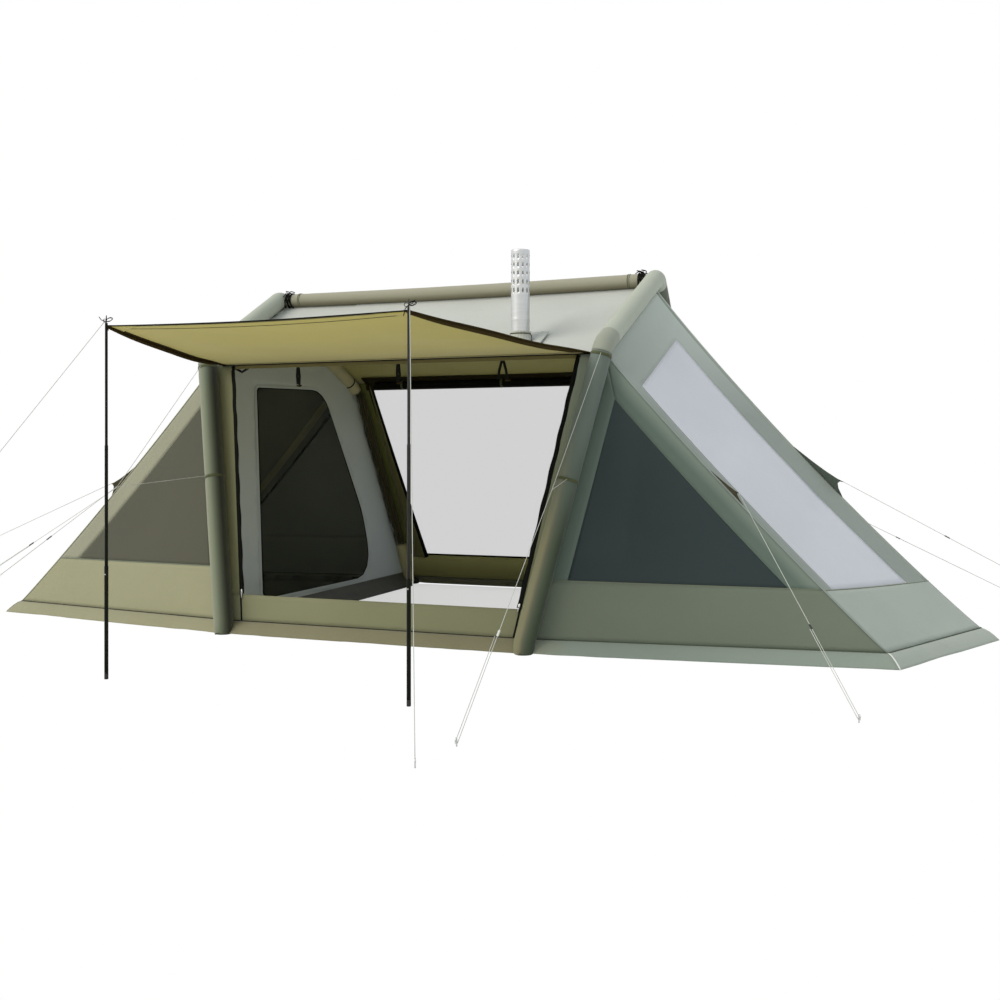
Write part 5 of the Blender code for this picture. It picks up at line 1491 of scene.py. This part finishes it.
tie = [swept(tie, circle(0.0022), caps=False), swept(tail, circle(0.0022))]
piece("jack_tie", tie, "tent", black_webbing)
hang(patch)


# The valve, low on the right arch's back leg: a screw-in body with a hinged cap, both of black nylon,
# which is smooth but not shiny. The cap has fine grips round its edge.
VALVE_STEPS = ((0, 0.86), (0.12, 1.0), (0.8, 1.0), (1.0, 0.9))
nylon = mottled("black_nylon", "17181A", "232426", (0.45, 0.45), 300.0)
VALVE_PARTS = (("inflation_valve", "tent", "valve_body", 0), ("valve_cap", "cap", "valve_lid", 0.03))
for node, body, name, grip in VALVE_PARTS:
    box_low, box_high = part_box(node)
    middle = (box_low + box_high) / 2
    radius = (box_high.z - box_low.z) / 2
    rows = []
    for share, size in VALVE_STEPS:
        centre = Vector((box_low.x + (box_high.x - box_low.x) * share, middle.y, middle.z))
        rim = ring(centre, BACK, UP, radius * size, 48)[:-1]
        rows.append([centre + (p - centre) * (1 - grip * (k % 2)) for k, p in enumerate(rim)])
    piece(name, skin(rows, wrap=True, caps=True), body, nylon, node)


# The guy lines. Thin pale cord: six run from the tent through a small slider, turn at their far end, and
# come back to the slider, which draws that return along. Two run straight, and two end in a knot. Three end
# at a peg of bent wire, bright as the zinc, one on another line, and the others in the air. A route is
# its knots; a slider stands at a share of the last stretch.
LINE_D, LINE_STEP, RETURN_STEP, LEAST_POINTS = 0.003, 0.22, 0.05, 16
PEG_D, LOOP_W = 0.006, 0.0102
RETURN_BACK = 0.0173
PEG_WIRE_R, PEG_BEND = 0.0027, 0.0045
PEG_SHAPE = ((-0.004, 0.002), (-0.004, 0.033), (0.006, 0.033), (0.007, 0.024))
RUNNER = (0.017, 0.0055, 0.0035)
RUNNER_STEPS = (
    (-1, 0.45, 0.5), (-0.92, 0.8, 0.85), (-0.5, 1, 1), (0, 0.85, 0.92), (0.5, 1, 1), (0.92, 0.8, 0.85),
    (1, 0.45, 0.5),
)
ROUTES = {
    "knee_right": [(1.3052, -1.0718, 1.6288), (1.31, -1.97, 0.91), (1.319, -3.143, 0.02)],
    "leg_right": [(1.155, -1.212, 0.9387), (1.31, -1.97, 0.9067)],
    "knee_left": [(-1.2978, -1.0729, 1.6306), (-1.2, -1.96, 0.9), (-1.742, -2.303, 0.391)],
    "leg_left": [(-1.1477, -1.2132, 0.9405), (-1.2, -1.96, 0.8934), (-2.012, -2.038, 0.414)],
    "pole_right": [(0.8833, -2.63, 1.7117), (1.282, -3.438, 0.02)],
    "pole_left": [(-0.7133, -2.63, 1.7117), (-1.129, -2.903, 1.044)],
    "hip_right": [(2.0419, -1.0131, 0.8669), (2.689, -2.261, 0.02)],
    "ridge_right": [(2.5301, -0.037, 0.904), (3.417, 0, 0.416)],
    "hip_back_right": [(2.0847, 0.9647, 0.8735), (3.532, 1.339, 0.134)],
    "hip_left": [(-2.0643, -1.0015, 0.8742), (-2.566, -1.495, 0.534)],
}
SLIDER_SHARES = {
    "knee_right": 0.63, "knee_left": 0.556, "leg_left": 0.684, "hip_right": 0.66, "ridge_right": 0.643,
    "hip_back_right": 0.516,
}
FAR_ENDS = {"pole_right": "fitting", "leg_right": "object", "pole_left": "knot", "hip_left": "knot"}
# The cord is pale polyester braid, the right knee's slider pale plastic with the same dull look.
line_cloth = narrow("pale_line_cord", "B9BCB6", "C6C8C2", thread=FINE_THREAD)
pale_slider = narrow("pale_line_runner", "D5D7D2", "DDDFDA", thread=FINE_THREAD)


def line_tube(path):
    """The cord itself."""
    return swept(path, circle(LINE_D / 2))


def knot_at(end, along):
    """Three turns of cord at a line's end."""
    flat = along.orthogonal().normalized()
    centres = [end - along * (0.003 + 0.0028 * k) for k in range(3)]
    return [swept(ring(p, flat, along.cross(flat), 0.0022, 16), circle(0.0013), caps=False) for p in centres]


pegs = {}
for name in ("knee_right", "pole_right", "hip_right"):
    low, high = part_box("peg_" + name)
    middle = (low + high) / 2
    away = at(*ROUTES[name][-1]) - at(*ROUTES[name][0])
    away = Vector((away.x, away.y, 0)).normalized()
    path = [Vector((middle.x, middle.y, z)) + away * out for out, z in PEG_SHAPE]
    hook = swept(even(bent(path, PEG_BEND, 5), 0.006), circle(PEG_WIRE_R, 12))
    pegs[name] = piece("peg_hook_" + name, hook, "tent", zinc, "peg_" + name)

for name, route in ROUTES.items():
    points = [at(*p) for p in route]
    start, far = points[-2:]
    along = (far - start).normalized()
    aside = along.cross(UP).normalized()
    if name in SLIDER_SHARES:
        turns = spaced(0.0, math.pi, 4)
        centre = far + along * PEG_D + aside * (LOOP_W / 2)
        loop = [centre + (along * math.sin(a) - aside * math.cos(a)) * (LOOP_W / 2) for a in turns]
        points = points[:-1] + loop
    path = even(points, LINE_STEP)
    while len(path) < LEAST_POINTS:
        path = even(path, 0.5 * max((b - a).length for a, b in zip(path, path[1:])))
    body = "tent"
    if name.startswith("pole"):
        body = ("tent", "pole_upper_" + name[5:], tuple(points[-1]), tuple(points[0]))
    line = piece("guy_" + name, line_tube(path), body, line_cloth, "line_" + name)
    others = [pegs[name]] if name in pegs else []
    if name in SLIDER_SHARES:
        node, spot = "adjuster_" + name, start.lerp(far, SLIDER_SHARES[name])
        long, wide, thick = RUNNER
        rise = aside.cross(along)
        rows = [
            ring(spot + along * (long * s), rise * (thick * t), aside * (wide * w), 1, 20)[:-1]
            for s, w, t in RUNNER_STEPS
        ]
        finish = pale_slider if name == "knee_right" else nylon
        others.insert(0, piece("slider_" + name, skin(rows, wrap=True, caps=True), node, finish, node))
        back = [points[-1], spot + aside * LOOP_W + along * RETURN_BACK]
        turned = even(back, RETURN_STEP)
        stretch = ("tent", node, tuple(back[0]), tuple(back[1]))
        piece("guy_return_" + name, line_tube(turned), stretch, line_cloth)
    if FAR_ENDS.get(name) == "knot":
        others.append(piece("knot_" + name, knot_at(far, along), "tent", line_cloth))
